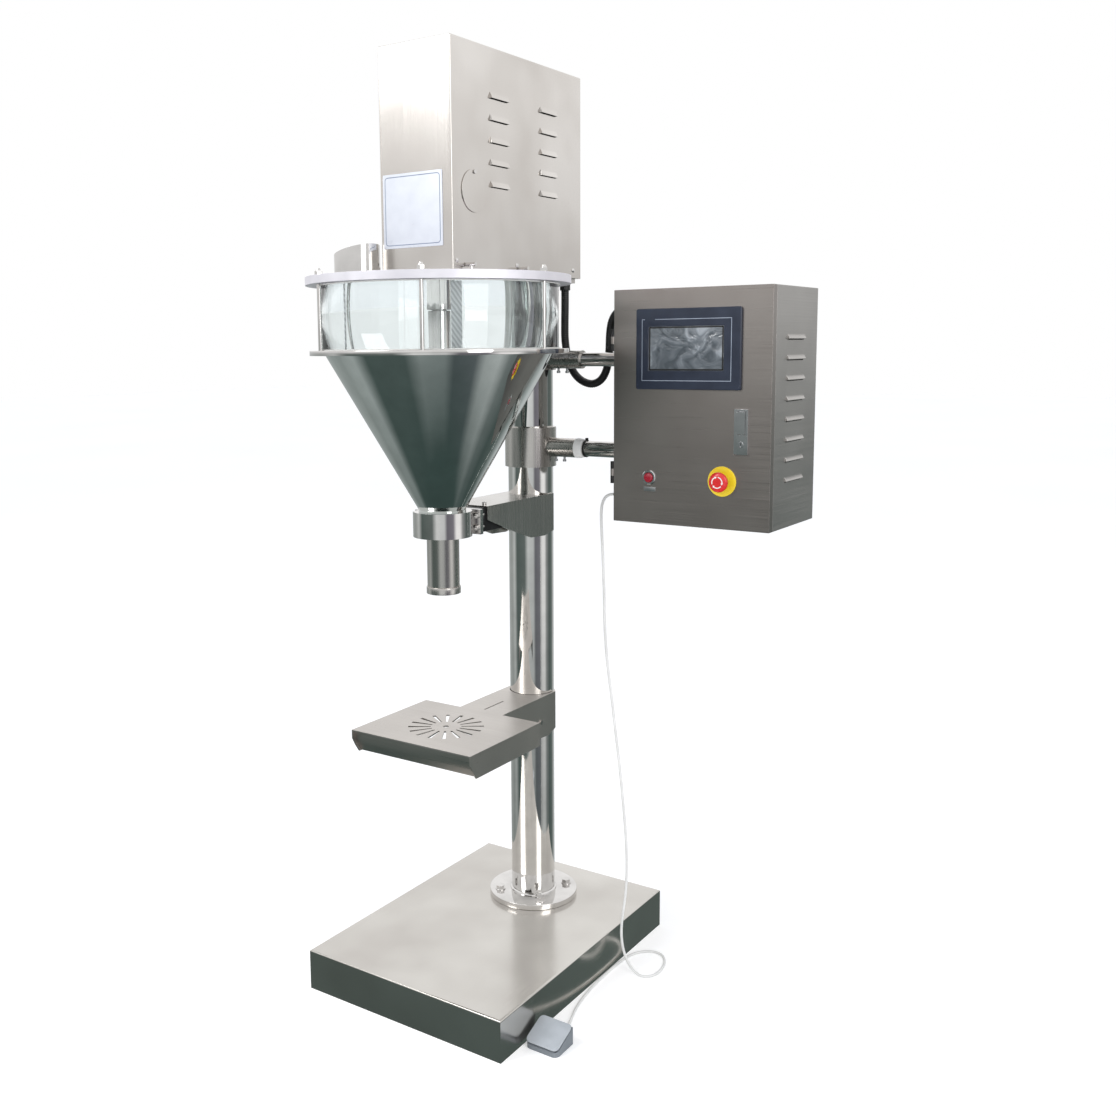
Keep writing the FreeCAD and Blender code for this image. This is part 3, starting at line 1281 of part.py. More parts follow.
    glands = []
    for y, z, radius, reach in ((HOSE[-1][1], HOSE[-1][2], "hose_radius", "18"),
                                (FOOT_CORD[0][1], FOOT_CORD[0][2], "foot_cord_radius", "18")):
        stem = rod(("cabinet_left - %s + 2" % reach, y, z), "%s + 2" % radius, "%s + 6" % reach, "X")
        nut = hexagon(("cabinet_left - 7", y, z), "(%s + 2) * 1.5" % radius, "7", "X")
        dome = taper(("cabinet_left - %s" % reach, y, z), "%s + 1" % radius, "%s + 3" % radius, "9", "X")
        inside = hexagon(("cabinet_left + cabinet_sheet", y, z), "(%s + 2) * 1.5" % radius, "4", "X")
        glands.append(fuse(stem, nut, dome, inside))
    head_gland = fuse(
        rod((HOSE[0][0], HOSE[0][1], "head_underside - 16"), "hose_radius + 2.5", "16"),
        rod((HOSE[0][0], HOSE[0][1], "head_underside - 2"), "hose_radius - 2", "head_plate_thickness + 2"))
    node("cabinet_glands", group(*glands))
    node("head_gland", head_gland)


HINGE_X = "cabinet_left - hinge_radius - 0.3"
HINGE_Y = "-door_front + hinge_back"


def make_door():
    """The door pan with its seal and everything that is mounted in it."""
    front, back = "-door_front", "-cabinet_front - door_gap"
    depth = "door_front - cabinet_front - door_gap"
    pan = box(("cabinet_left", front, "cabinet_bottom"), ("cabinet_width", depth, "cabinet_height"))
    hollow = box(("cabinet_left + door_sheet", "%s + door_sheet" % front, "cabinet_bottom + door_sheet"),
                 ("cabinet_width - 2 * door_sheet", depth, "cabinet_height - 2 * door_sheet"))
    window = box(("screen_x + 5", "%s - 1" % front, "screen_z + 5"),
                 ("screen_width - 10", "door_sheet + 2", "screen_height - 10"))
    latch_hole = box(("latch_x + 3", "%s - 1" % front, "latch_z + 3"),
                     ("latch_width - 6", "door_sheet + 2", "latch_height - 6"))
    holes = [
        rod((x, "%s - 1" % front, "button_z"), "button_barrel_radius", "door_sheet + 2", "Y")
        for x in ("button_x", "stop_x")
    ]
    skin = cut(pan, hollow, window, latch_hole, *holes)
    seal_in = "cabinet_lip - gasket_strip - 1"
    seal = box(("cabinet_left + %s" % seal_in, "%s - 5" % back, "cabinet_bottom + %s" % seal_in),
               ("cabinet_width - 2 * (%s)" % seal_in, "5 - 0.3", "cabinet_height - 2 * (%s)" % seal_in))
    seal_out = "cabinet_lip - 1"
    seal_hole = box(("cabinet_left + %s" % seal_out, "%s - 6" % back, "cabinet_bottom + %s" % seal_out),
                    ("cabinet_width - 2 * (%s)" % seal_out, "7", "cabinet_height - 2 * (%s)" % seal_out))
    channel = box(("cabinet_left + door_sheet", "%s - 6" % back, "cabinet_bottom + door_sheet"),
                  ("cabinet_width - 2 * door_sheet", "1", "cabinet_height - 2 * door_sheet"))
    channel_hole = box(("cabinet_left + %s" % seal_out, "%s - 7" % back, "cabinet_bottom + %s" % seal_out),
                       ("cabinet_width - 2 * (%s)" % seal_out, "3",
                        "cabinet_height - 2 * (%s)" % seal_out))
    node("door_seal", cut(seal, seal_hole))

    leaves = []
    for z in ("cabinet_bottom + hinge_inset", "cabinet_top - hinge_inset"):
        low = "%s - hinge_length / 6 + 0.2" % z
        height = "hinge_length / 3 - 0.4"
        barrel = rod((HINGE_X, HINGE_Y, low), "hinge_radius", height)
        leaf = box(("cabinet_left - hinge_leaf", front, low), ("hinge_leaf", "door_depth - 2", height))
        bore = rod((HINGE_X, HINGE_Y, low), "hinge_pin_radius + running_clearance", height)
        leaves.append(cut(fuse(barrel, leaf), bore))
    node("door_panel", group(skin, cut(channel, channel_hole), *leaves))

    bezel = box(("screen_x", "%s - screen_proud" % front, "screen_z"),
                ("screen_width", "screen_proud", "screen_height"))
    glass_x, glass_z = "screen_x + glass_left", "screen_z + screen_height - glass_drop - glass_height"
    recess = box((glass_x, "%s - screen_proud - 1" % front, glass_z),
                 ("glass_width", "screen_proud + 2", "glass_height"))
    node("screen_glass", box((glass_x, "%s - screen_proud + 0.8" % front, glass_z),
                             ("glass_width", "screen_proud - 0.8", "glass_height")))
    case = box(("screen_x + 5", front, "screen_z + 5"),
               ("screen_width - 10", "screen_case_depth", "screen_height - 10"))
    node("screen_unit", fuse(cut(bezel, recess), case))

    face = "%s - latch_proud" % front
    plate = box(("latch_x", face, "latch_z"), ("latch_width", "latch_proud", "latch_height"))
    rear = box(("latch_x + 3", front, "latch_z + 3"), ("latch_width - 6", "14", "latch_height - 6"))
    pocket = box(("key_x - paddle_width / 2 - 0.5", "%s - 1" % face, PADDLE_Z + " - 0.5"),
                 ("paddle_width + 1", "latch_proud + 5", "paddle_height + 2"))
    key_hole = rod(("key_x", "%s - 1" % face, "key_z"), "key_radius + running_clearance", "30", "Y")
    pivot = rod(("key_x - paddle_width / 2 - 2", PADDLE_Y, PADDLE_TOP), "1.5", "paddle_width + 4", "X")
    node("latch_plate", fuse(cut(fuse(plate, rear), pocket, key_hole), pivot))
    paddle = box(("key_x - paddle_width / 2", "%s - 1.5" % face, PADDLE_Z),
                 ("paddle_width", "6", "paddle_height"))
    paddle_bore = rod(("key_x - paddle_width / 2 - 1", PADDLE_Y, PADDLE_TOP), "1.55",
                      "paddle_width + 2", "X")
    node("latch_paddle", cut(paddle, paddle_bore))
    barrel = rod(("key_x", "%s - 1" % face, "key_z"), "key_radius", "latch_proud + 25", "Y")
    slot = box(("key_x - 0.8", "%s - 2" % face, "key_z - 4"), ("1.6", "6", "8"))
    cam = box(("key_x - 8", "-cabinet_front + cabinet_sheet + 0.8", "key_z - 8"),
              ("16", "3", "cam_length"))
    node("lock_barrel", fuse(cut(barrel, slot), cam))

    ring = tube(("button_x", "%s - 3" % front, "button_z"), "button_bezel_radius",
                "button_cap_radius + 0.4", "3", "Y")
    sleeve = tube(("button_x", front, "button_z"), "button_barrel_radius", "button_cap_radius + 0.4",
                  "11", "Y")
    bezel_body = fuse(ring, sleeve)
    block = box(("button_x - contact_block / 2", "%s + 11" % front, "button_z - contact_block / 2"),
                ("contact_block", "contact_depth", "contact_block"))
    well = rod(("button_x", "%s + 10" % front, "button_z"), "5.4", "12", "Y")
    stop_block = box(("stop_x - contact_block / 2", "%s + 11" % front, "button_z - contact_block / 2"),
                     ("contact_block", "contact_depth", "contact_block"))
    stop_well = rod(("stop_x", "%s + 10" % front, "button_z"), "5.4", "12", "Y")
    cap = rod(("button_x", "%s - 6.5" % front, "button_z"), "button_cap_radius", "12", "Y")
    stem = rod(("button_x", "%s + 5.5" % front, "button_z"), "5", "6.5 + 10 - button_travel - 4", "Y")
    node("button_cap", fuse(cap, stem))

    node("stop_ring", tube(("stop_x", "%s - 2" % front, "button_z"), "stop_ring_radius",
                           "button_barrel_radius", "2", "Y"))
    body = fuse(rod(("stop_x", "%s - 8.5" % front, "button_z"), "14.5", "6.5", "Y"),
                rod(("stop_x", "%s - 2" % front, "button_z"), "button_barrel_radius", "13", "Y"))
    stop_body = cut(body, rod(("stop_x", "%s - 10" % front, "button_z"), "7.4", "30", "Y"))
    node("switch_bodies", group(bezel_body, stop_body, cut(block, well), cut(stop_block, stop_well)))
    tip = "%s - stop_head_proud" % front
    head = fuse(taper(("stop_x", tip, "button_z"), "stop_head_radius - 5", "stop_head_radius", "5", "Y"),
                rod(("stop_x", "%s + 5" % tip, "button_z"), "stop_head_radius", "4", "Y"),
                taper(("stop_x", "%s + 9" % tip, "button_z"), "stop_head_radius", "11", "2", "Y"),
                rod(("stop_x", "%s + 9" % tip, "button_z"), "7",
                    "stop_head_proud - 9 + 10 - stop_travel", "Y"))
    node("stop_head", head)


PADDLE_Z = "latch_z + latch_height - 5 - paddle_height"
PADDLE_TOP = "latch_z + latch_height - 9"
PADDLE_Y = "-door_front - latch_proud + 1.7"


# ---------------------------------------------------------------- foot switch
def make_foot_switch():
    """A wedge-shaped foot switch: a base with side cheeks and a hinged pedal plate."""
    right = "pedal_left + pedal_width"
    rear = "-pedal_front + pedal_length"
    drop = "(pedal_plate + pedal_travel * 0.5)"
    outline = (
        ("-pedal_front", "0"),
        (rear, "0"),
        (rear, "pedal_rear_height - pedal_plate - 1"),
        ("-pedal_front", "pedal_front_height - %s - 2" % drop),
    )
    wedge = padded("FootWedge", "YZ", outline, "pedal_width", ("pedal_left", "0", "0"))
    inner = (
        ("-pedal_front + 4", "2.5"),
        ("%s - 4" % rear, "2.5"),
        ("%s - 4" % rear, "pedal_rear_height"),
        ("-pedal_front + 4", "pedal_rear_height"),
    )
    cavity = padded("FootCavity", "YZ", inner, "pedal_width - 8", ("pedal_left + 4", "0", "0"))
    corners = [box((x, "-pedal_front - 1", "-1"), ("12", "13", "60"))
               for x in ("pedal_left - 1", "%s - 11" % right)]
    rounds = [rod((x, "-pedal_front + 12", "-2"), "12", "62")
              for x in ("pedal_left + 12", "%s - 12" % right)]
    keep = [cut(corner, curve) for corner, curve in zip(corners, rounds)]
    pivot = rod(("pedal_left + 2", PEDAL_Y, PEDAL_Z), "2", "pedal_width - 4", "X")
    cord_hole = rod((FOOT_CORD[-1][0], "%s - 5" % rear, FOOT_CORD[-1][2]), "foot_cord_radius", "6", "Y")
    shell = fuse(cut(wedge, cavity, cord_hole, *keep), pivot)
    switch = box(("pedal_left + pedal_width / 2 - 10", "-pedal_front + 24", "2.5"), ("20", "14", "10"))
    node("foot_base", group(shell, switch))

    plate_outline = (
        ("-pedal_front", "pedal_front_height - pedal_plate"),
        (rear, "pedal_rear_height - pedal_plate"),
        (rear, "pedal_rear_height"),
        ("-pedal_front", "pedal_front_height"),
    )
    plate = padded("PedalPlate", "YZ", plate_outline, "pedal_width", ("pedal_left", "0", "0"))
    plate_keep = [cut(box((x, "-pedal_front - 1", "-1"), ("12", "13", "60")),
                      rod((curve, "-pedal_front + 12", "-2"), "12", "62"))
                  for x, curve in (("pedal_left - 1", "pedal_left + 12"),
                                   ("%s - 11" % right, "%s - 12" % right))]
    lugs = [box((x, "%s - 4" % PEDAL_Y, "%s - 4" % PEDAL_Z), ("4", "8", "pedal_plate + 5.5"))
            for x in ("pedal_left + 8", "%s - 12" % right)]
    holes = [rod((x, PEDAL_Y, PEDAL_Z), "2.05", "6", "X")
             for x in ("pedal_left + 7", "%s - 13" % right)]
    node("foot_pedal", cut(fuse(plate, *lugs), *plate_keep, *holes))


PEDAL_Y = "-pedal_front + pedal_length - 11"
PEDAL_Z = "pedal_rear_height - pedal_plate - 8"


# ---------------------------------------------------------------- cords
# Route points chosen by hand; each cord follows them as straight runs and tangent arcs.
FOOT_CORD = (
    (241, -45, 1063), (228, -45, 1062), (215, -45, 1051), (209, -45, 1028), (210, -45, 990),
    (214, -45, 925), (217, -45, 848), (219, -46, 768), (226, -47, 692), (238, -48, 616),
    (249, -49, 537), (261, -51, 457), (270, -51, 377), (278, -52, 302), (281, -53, 232),
    (278, -54, 172), (271, -56, 122), (269, -58, 78), (277, -61, 42), (294, -65, 16),
    (318, -71, 3.2), (340, -66, 3.2), (351, -44, 3.2), (350, -12, 3.2), (340, 20, 3.2),
    (320, 41, 3.2), (296, 41, 3.2), (275, 24, 3.2), (262, -4, 3.2), (258, -40, 3.2),
    (256.5, -84, 3.2), (257, -132, 3.2), (260, -180, 3.2), (266, -226, 3.2), (275, -268, 3.2),
    (288, -304, 4.5), (297, -332, 7.5), (302, -354, 11), (304.5, -374, 12),
)
FOOT_CORD_ARM_POINTS = 12
HOSE = (
    (69, 38, 1500), (69, 38, 1462), (68, 38.3, 1430), (68, 38.3, 1390), (75, 39, 1348), (91, 39, 1316),
    (114, 38.5, 1298),
    (141, 38, 1292), (164, 38, 1303), (178, 38, 1330), (182, 38, 1368), (182.5, 38, 1405),
    (188, 38, 1434), (204, 38, 1453), (223, 38, 1460), (241, 38, 1460),
)
HOSE_ROOT_POINTS = 3
SHARE = 0.45


def cord_path(points):
    """Straight runs joined by tangent arcs, each as large as its two runs allow."""
    spots = [Vector(*point) for point in points]
    edges = []
    radii = []
    start = spots[0]
    for before, corner, after in zip(spots, spots[1:], spots[2:]):
        run_in, run_out = corner - before, after - corner
        reach = SHARE * min(run_in.Length, run_out.Length)
        into, out = Vector(run_in).normalize(), Vector(run_out).normalize()
        half_turn = into.getAngle(out) / 2
        radii.append(reach / math.tan(half_turn))
        first, last = corner - into * reach, corner + out * reach
        centre_way = (out - into).normalize()
        middle = corner + centre_way * (radii[-1] / math.cos(half_turn) - radii[-1])
        edges.append(Part.LineSegment(start, first).toShape())
        edges.append(Part.Arc(first, middle, last).toShape())
        start = last
    edges.append(Part.LineSegment(start, spots[-1]).toShape())
    return Part.Wire(edges), radii


def cord_tube(label, points, radius):
    """A closed tube along a route, its volume compared with section times length."""
    path, radii = cord_path(points)
    way = Vector(*points[1]) - Vector(*points[0])
    ring = Part.Wire(Part.makeCircle(radius, Vector(*points[0]), way))
    solid = path.makePipeShell([ring], True, False)
    wanted = math.pi * radius * radius * path.Length
    print("%s length %.0f, smallest radius %.1f, volume ratio %.4f"
          % (label, path.Length, min(radii), solid.Volume / wanted))
    item = doc.addObject("Part::Feature", "Cord")
    item.Shape = solid
    return node(label, item)


def split_route(points, index):
    """The route's two halves, cut midway along the run that ends at this index."""
    before, after = points[index - 1], points[index]
    middle = tuple((one + two) / 2 for one, two in zip(before, after))
    return points[:index] + (middle,), (middle,) + points[index:]


def make_cords():
    drop, lay = split_route(FOOT_CORD, FOOT_CORD_ARM_POINTS)
    cord_tube("foot_cord_drop", drop, SIZES["foot_cord_radius"])
    cord_tube("foot_cord", lay, SIZES["foot_cord_radius"])
    upper, lower = split_route(HOSE, HOSE_ROOT_POINTS)
    cord_tube("hose_upper", upper, SIZES["hose_radius"])
    cord_tube("hose_lower", lower, SIZES["hose_radius"])


def main():
    make_base()
    screws = make_column()
    screws += make_head_plate()
    screws += make_cover()
    make_hopper()
    screws += make_discharge()
    screws += make_neck_bracket()
    node("frame_screws", group(*screws))
    make_feed_inlet()
    make_drive()
    make_spindle()
    make_auger()
    make_table()
    make_arms()
    make_cabinet()
    make_door()
    make_foot_switch()
    make_cords()
    doc.removeObject(ruler.Name)
    doc.recompute()
    for item in doc.Objects:
        if "Invalid" in item.State or "Error" in item.State:
            raise RuntimeError("%s failed: %s" % (item.Name, item.State))
    for item in nodes:
        if item.Shape.isNull() or not item.Shape.isValid():
            raise RuntimeError("%s has no valid shape" % item.Label)
        if not item.Shape.Solids:
            raise RuntimeError("%s holds no solid" % item.Label)
    os.makedirs("parts", exist_ok=True)
    for item in nodes:
        item.Shape.exportStep("parts/%s.step" % item.Label)
    print("%d nodes" % len(nodes))


main()
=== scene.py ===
"""The looks of the auger powder filler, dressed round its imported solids.

Metres, +Z up. The column stands on the origin, the hopper hangs in front of it on the -Y side and
the control box is on the +X side. New pieces are grids of points worked out with numpy.
"""
import json
import math

import bmesh
import bpy
import numpy as np
from mathutils import Matrix, Vector


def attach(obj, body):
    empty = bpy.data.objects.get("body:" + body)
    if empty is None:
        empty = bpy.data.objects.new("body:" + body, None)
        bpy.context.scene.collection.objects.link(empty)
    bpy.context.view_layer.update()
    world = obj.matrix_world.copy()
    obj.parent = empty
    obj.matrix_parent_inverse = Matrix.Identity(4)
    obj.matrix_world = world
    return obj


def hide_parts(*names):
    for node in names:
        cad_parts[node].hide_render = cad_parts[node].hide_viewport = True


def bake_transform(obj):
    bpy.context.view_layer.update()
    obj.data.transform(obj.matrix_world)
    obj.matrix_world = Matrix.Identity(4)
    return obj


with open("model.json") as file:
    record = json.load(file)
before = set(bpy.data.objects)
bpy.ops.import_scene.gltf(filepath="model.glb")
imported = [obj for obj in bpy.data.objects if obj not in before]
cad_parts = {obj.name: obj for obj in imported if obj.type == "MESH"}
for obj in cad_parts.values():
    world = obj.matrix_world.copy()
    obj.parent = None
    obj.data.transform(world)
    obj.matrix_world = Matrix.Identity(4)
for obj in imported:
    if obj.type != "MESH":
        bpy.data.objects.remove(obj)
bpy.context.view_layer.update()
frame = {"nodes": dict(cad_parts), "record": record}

RECORD = frame["record"]
SLOT_OF = {part["node"]: part["material_slot"] for part in RECORD["subparts"]}
BODY_OF = {node: body for body, nodes in RECORD["behaviour"]["bodies"].items() for node in nodes}
HOPPER = np.array([0.0, -0.334, 0.0])

# ------------------------------------------------------------------ camera
SENSOR_WIDTH = 36
FOCAL_LENGTH = 38.39355


def make_camera():
    """A camera at the right-hand front, a little below the hopper's lid, looking slightly down."""
    azimuth, elevation, roll = (math.radians(angle) for angle in (34.8, -7.8, -0.6))
    ahead = Vector((-math.sin(azimuth) * math.cos(elevation), math.cos(azimuth) * math.cos(elevation),
                    math.sin(elevation)))
    level = Vector((math.cos(azimuth), math.sin(azimuth), 0))
    upright = level.cross(ahead)
    side = level * math.cos(roll) + upright * math.sin(roll)
    over = upright * math.cos(roll) - level * math.sin(roll)
    lens = bpy.data.cameras.new("camera")
    lens.sensor_width = SENSOR_WIDTH
    lens.lens = FOCAL_LENGTH
    lens.shift_x, lens.shift_y = 0.0572, -0.0430
    camera = bpy.data.objects.new("camera", lens)
    bpy.context.scene.collection.objects.link(camera)
    camera.matrix_world = Matrix.Translation((1.470, -2.263, 1.377)) @ Matrix(
        (side, over, -ahead)).transposed().to_4x4()
    bpy.context.scene.camera = camera


make_camera()


# ------------------------------------------------------------------ materials
def linear(code):
    """An sRGB hex colour as linear red, green, blue and alpha."""
    share = np.array([int(code[at:at + 2], 16) for at in (1, 3, 5)]) / 255
    return (*np.where(share <= 0.04045, share / 12.92, ((share + 0.055) / 1.055) ** 2.4), 1.0)


def add_node(tree, kind, sockets=None, **settings):
    """One node with its settings; each socket gets a value, or a link from another node's output."""
    made = tree.nodes.new(kind)
    for name, value in settings.items():
        setattr(made, name, value)
    for name, value in (sockets or {}).items():
        if isinstance(value, bpy.types.NodeSocket):
            tree.links.new(value, made.inputs[name])
        else:
            made.inputs[name].default_value = value
    return made


def new_material(name, **sockets):
    """A material with one Principled shader; returns it, its node tree and the shader."""
    made = bpy.data.materials.new(name)
    made.use_nodes = True
    shader = made.node_tree.nodes["Principled BSDF"]
    for socket, value in sockets.items():
        shader.inputs[socket.replace("_", " ")].default_value = value
    return made, made.node_tree, shader


def ramp(tree, factor, stops):
    """A colour ramp from a list of places and colours."""
    made = add_node(tree, "ShaderNodeValToRGB", {"Fac": factor})
    band = made.color_ramp
    while len(band.elements) < len(stops):
        band.elements.new(0.5)
    for element, (place, code) in zip(band.elements, stops):
        element.position = place
        element.color = linear(code)
    return made.outputs["Color"]


# Brushing hairs across one metre: coarser than the real grit's, so that they show.
HAIRS = 900.0


def steel_sheet(name, dark, light, roughness, grain, wave, scratch):
    """Stainless sheet: metallic, with a rolling or brushing grain along one axis and slow waves.

    grain names the axis that the hairs run along; wave is the height of the slow waves in metres.
    """
    made, tree, shader = new_material(name, Metallic=1.0)
    place = add_node(tree, "ShaderNodeTexCoord").outputs["Object"]
    stretch = [4 if axis == grain else HAIRS for axis in "XYZ"]
    lines = add_node(tree, "ShaderNodeMapping", {"Vector": place, "Scale": stretch})
    hair = add_node(tree, "ShaderNodeTexNoise", {"Vector": lines.outputs["Vector"], "Scale": 1.0,
                                                 "Detail": 3.0})
    cloud = add_node(tree, "ShaderNodeTexNoise", {"Vector": place, "Scale": 5.0, "Detail": 2.0})
    rough = add_node(tree, "ShaderNodeMapRange", {"Value": hair.outputs["Fac"], "From Min": 0.3,
                                                  "From Max": 0.7, "To Min": roughness * 0.8,
                                                  "To Max": roughness * 1.25})
    tree.links.new(rough.outputs["Result"], shader.inputs["Roughness"])
    tree.links.new(ramp(tree, cloud.outputs["Fac"], ((0.3, dark), (0.7, light))),
                   shader.inputs["Base Color"])
    slow = add_node(tree, "ShaderNodeTexNoise", {"Vector": place, "Scale": 7.0, "Detail": 0.0})
    waves = add_node(tree, "ShaderNodeBump", {"Height": slow.outputs["Fac"], "Distance": wave,
                                              "Strength": 1.0})
    hairs_bump = add_node(tree, "ShaderNodeBump", {"Height": hair.outputs["Fac"], "Distance": scratch,
                                                   "Strength": 0.6, "Normal": waves.outputs["Normal"]})
    tree.links.new(hairs_bump.outputs["Normal"], shader.inputs["Normal"])
    return made


def polished_steel(name, dark, light, roughness, wave=0.0002):
    """Buffed stainless: a mirror with faint haze where the buffing wheel left off."""
    made, tree, shader = new_material(name, Metallic=1.0)
    place = add_node(tree, "ShaderNodeTexCoord").outputs["Object"]
    haze = add_node(tree, "ShaderNodeTexNoise", {"Vector": place, "Scale": 22.0, "Detail": 3.0})
    rough = add_node(tree, "ShaderNodeMapRange", {"Value": haze.outputs["Fac"], "From Min": 0.3,
                                                  "From Max": 0.7, "To Min": roughness * 0.7,
                                                  "To Max": roughness * 1.5})
    tree.links.new(rough.outputs["Result"], shader.inputs["Roughness"])
    tree.links.new(ramp(tree, haze.outputs["Fac"], ((0.25, dark), (0.75, light))),
                   shader.inputs["Base Color"])
    slow = add_node(tree, "ShaderNodeTexNoise", {"Vector": place, "Scale": 9.0, "Detail": 0.0})
    waves = add_node(tree, "ShaderNodeBump", {"Height": slow.outputs["Fac"], "Distance": wave,
                                              "Strength": 1.0})
    tree.links.new(waves.outputs["Normal"], shader.inputs["Normal"])
    return made


def moulded(name, dark, light, roughness, grain=900.0, depth=0.00004, **sockets):
    """A moulded or painted skin: slight colour drift and a fine pebbled grain."""
    made, tree, shader = new_material(name, **sockets)
    place = add_node(tree, "ShaderNodeTexCoord").outputs["Object"]
    cloud = add_node(tree, "ShaderNodeTexNoise", {"Vector": place, "Scale": 30.0, "Detail": 4.0})
    tree.links.new(ramp(tree, cloud.outputs["Fac"], ((0.3, dark), (0.7, light))),
                   shader.inputs["Base Color"])
    rough = add_node(tree, "ShaderNodeMapRange", {"Value": cloud.outputs["Fac"], "From Min": 0.3,
                                                  "From Max": 0.7, "To Min": roughness * 0.9,
                                                  "To Max": roughness * 1.15})
    tree.links.new(rough.outputs["Result"], shader.inputs["Roughness"])
    pebble = add_node(tree, "ShaderNodeTexNoise", {"Vector": place, "Scale": grain, "Detail": 2.0})
    bump = add_node(tree, "ShaderNodeBump", {"Height": pebble.outputs["Fac"], "Distance": depth,
                                             "Strength": 0.5})
    tree.links.new(bump.outputs["Normal"], shader.inputs["Normal"])
    return made


def film_screen():
    """A switched-off panel under a loose protective film, whose folds catch the light; the same fold
    pattern paints the colour paler on the crests, as painted highlights.
    """
    made, tree, shader = new_material("film_screen_painted_glints", Coat_Weight=1.0, Coat_Roughness=0.05)
    place = add_node(tree, "ShaderNodeTexCoord").outputs["Object"]
    fold_relief_and_glints = add_node(tree, "ShaderNodeTexNoise", {"Vector": place, "Scale": 26.0, "Detail": 2.0,
                                                  "Distortion": 1.6})
    # Base colour paler where the fold noise is high: painted highlights of the film's folds.
    tree.links.new(ramp(tree, fold_relief_and_glints.outputs["Fac"], ((0.35, "#4A5056"), (0.6, "#6B7177"),
                                                     (0.72, "#8E949A"))),
                   shader.inputs["Base Color"])
    shader.inputs["Roughness"].default_value = 0.22
    bump = add_node(tree, "ShaderNodeBump", {"Height": fold_relief_and_glints.outputs["Fac"], "Distance": 0.006,
                                             "Strength": 0.7})
    tree.links.new(bump.outputs["Normal"], shader.inputs["Normal"])
    tree.links.new(bump.outputs["Normal"], shader.inputs["Coat Normal"])
    return made


def acrylic():
    """Cast acrylic tube: clear, with a faint cool edge tint and fine wipe marks."""
    made, tree, shader = new_material("cast_acrylic", Transmission_Weight=1.0, IOR=1.49,
                                      Base_Color=linear("#F4F8F8"))
    place = add_node(tree, "ShaderNodeTexCoord").outputs["Object"]
    wipe = add_node(tree, "ShaderNodeTexNoise", {"Vector": place, "Scale": 14.0, "Detail": 6.0})
    rough = add_node(tree, "ShaderNodeMapRange", {"Value": wipe.outputs["Fac"], "From Min": 0.35,
                                                  "From Max": 0.8, "To Min": 0.0, "To Max": 0.02})
    tree.links.new(rough.outputs["Result"], shader.inputs["Roughness"])
    return made


def frosted_joint():
    """The cemented seam of the acrylic tube: white, with slanting marks where it was keyed."""
    made, tree, shader = new_material("cemented_acrylic", Roughness=0.45, Transmission_Weight=0.5)
    place = add_node(tree, "ShaderNodeTexCoord").outputs["Object"]
    marks = add_node(tree, "ShaderNodeTexWave", {"Vector": place, "Scale": 55.0, "Distortion": 1.5},
                     bands_direction="DIAGONAL")
    tree.links.new(ramp(tree, marks.outputs["Fac"], ((0.2, "#C9CDCF"), (0.8, "#F7F9FA"))),
                   shader.inputs["Base Color"])
    return made


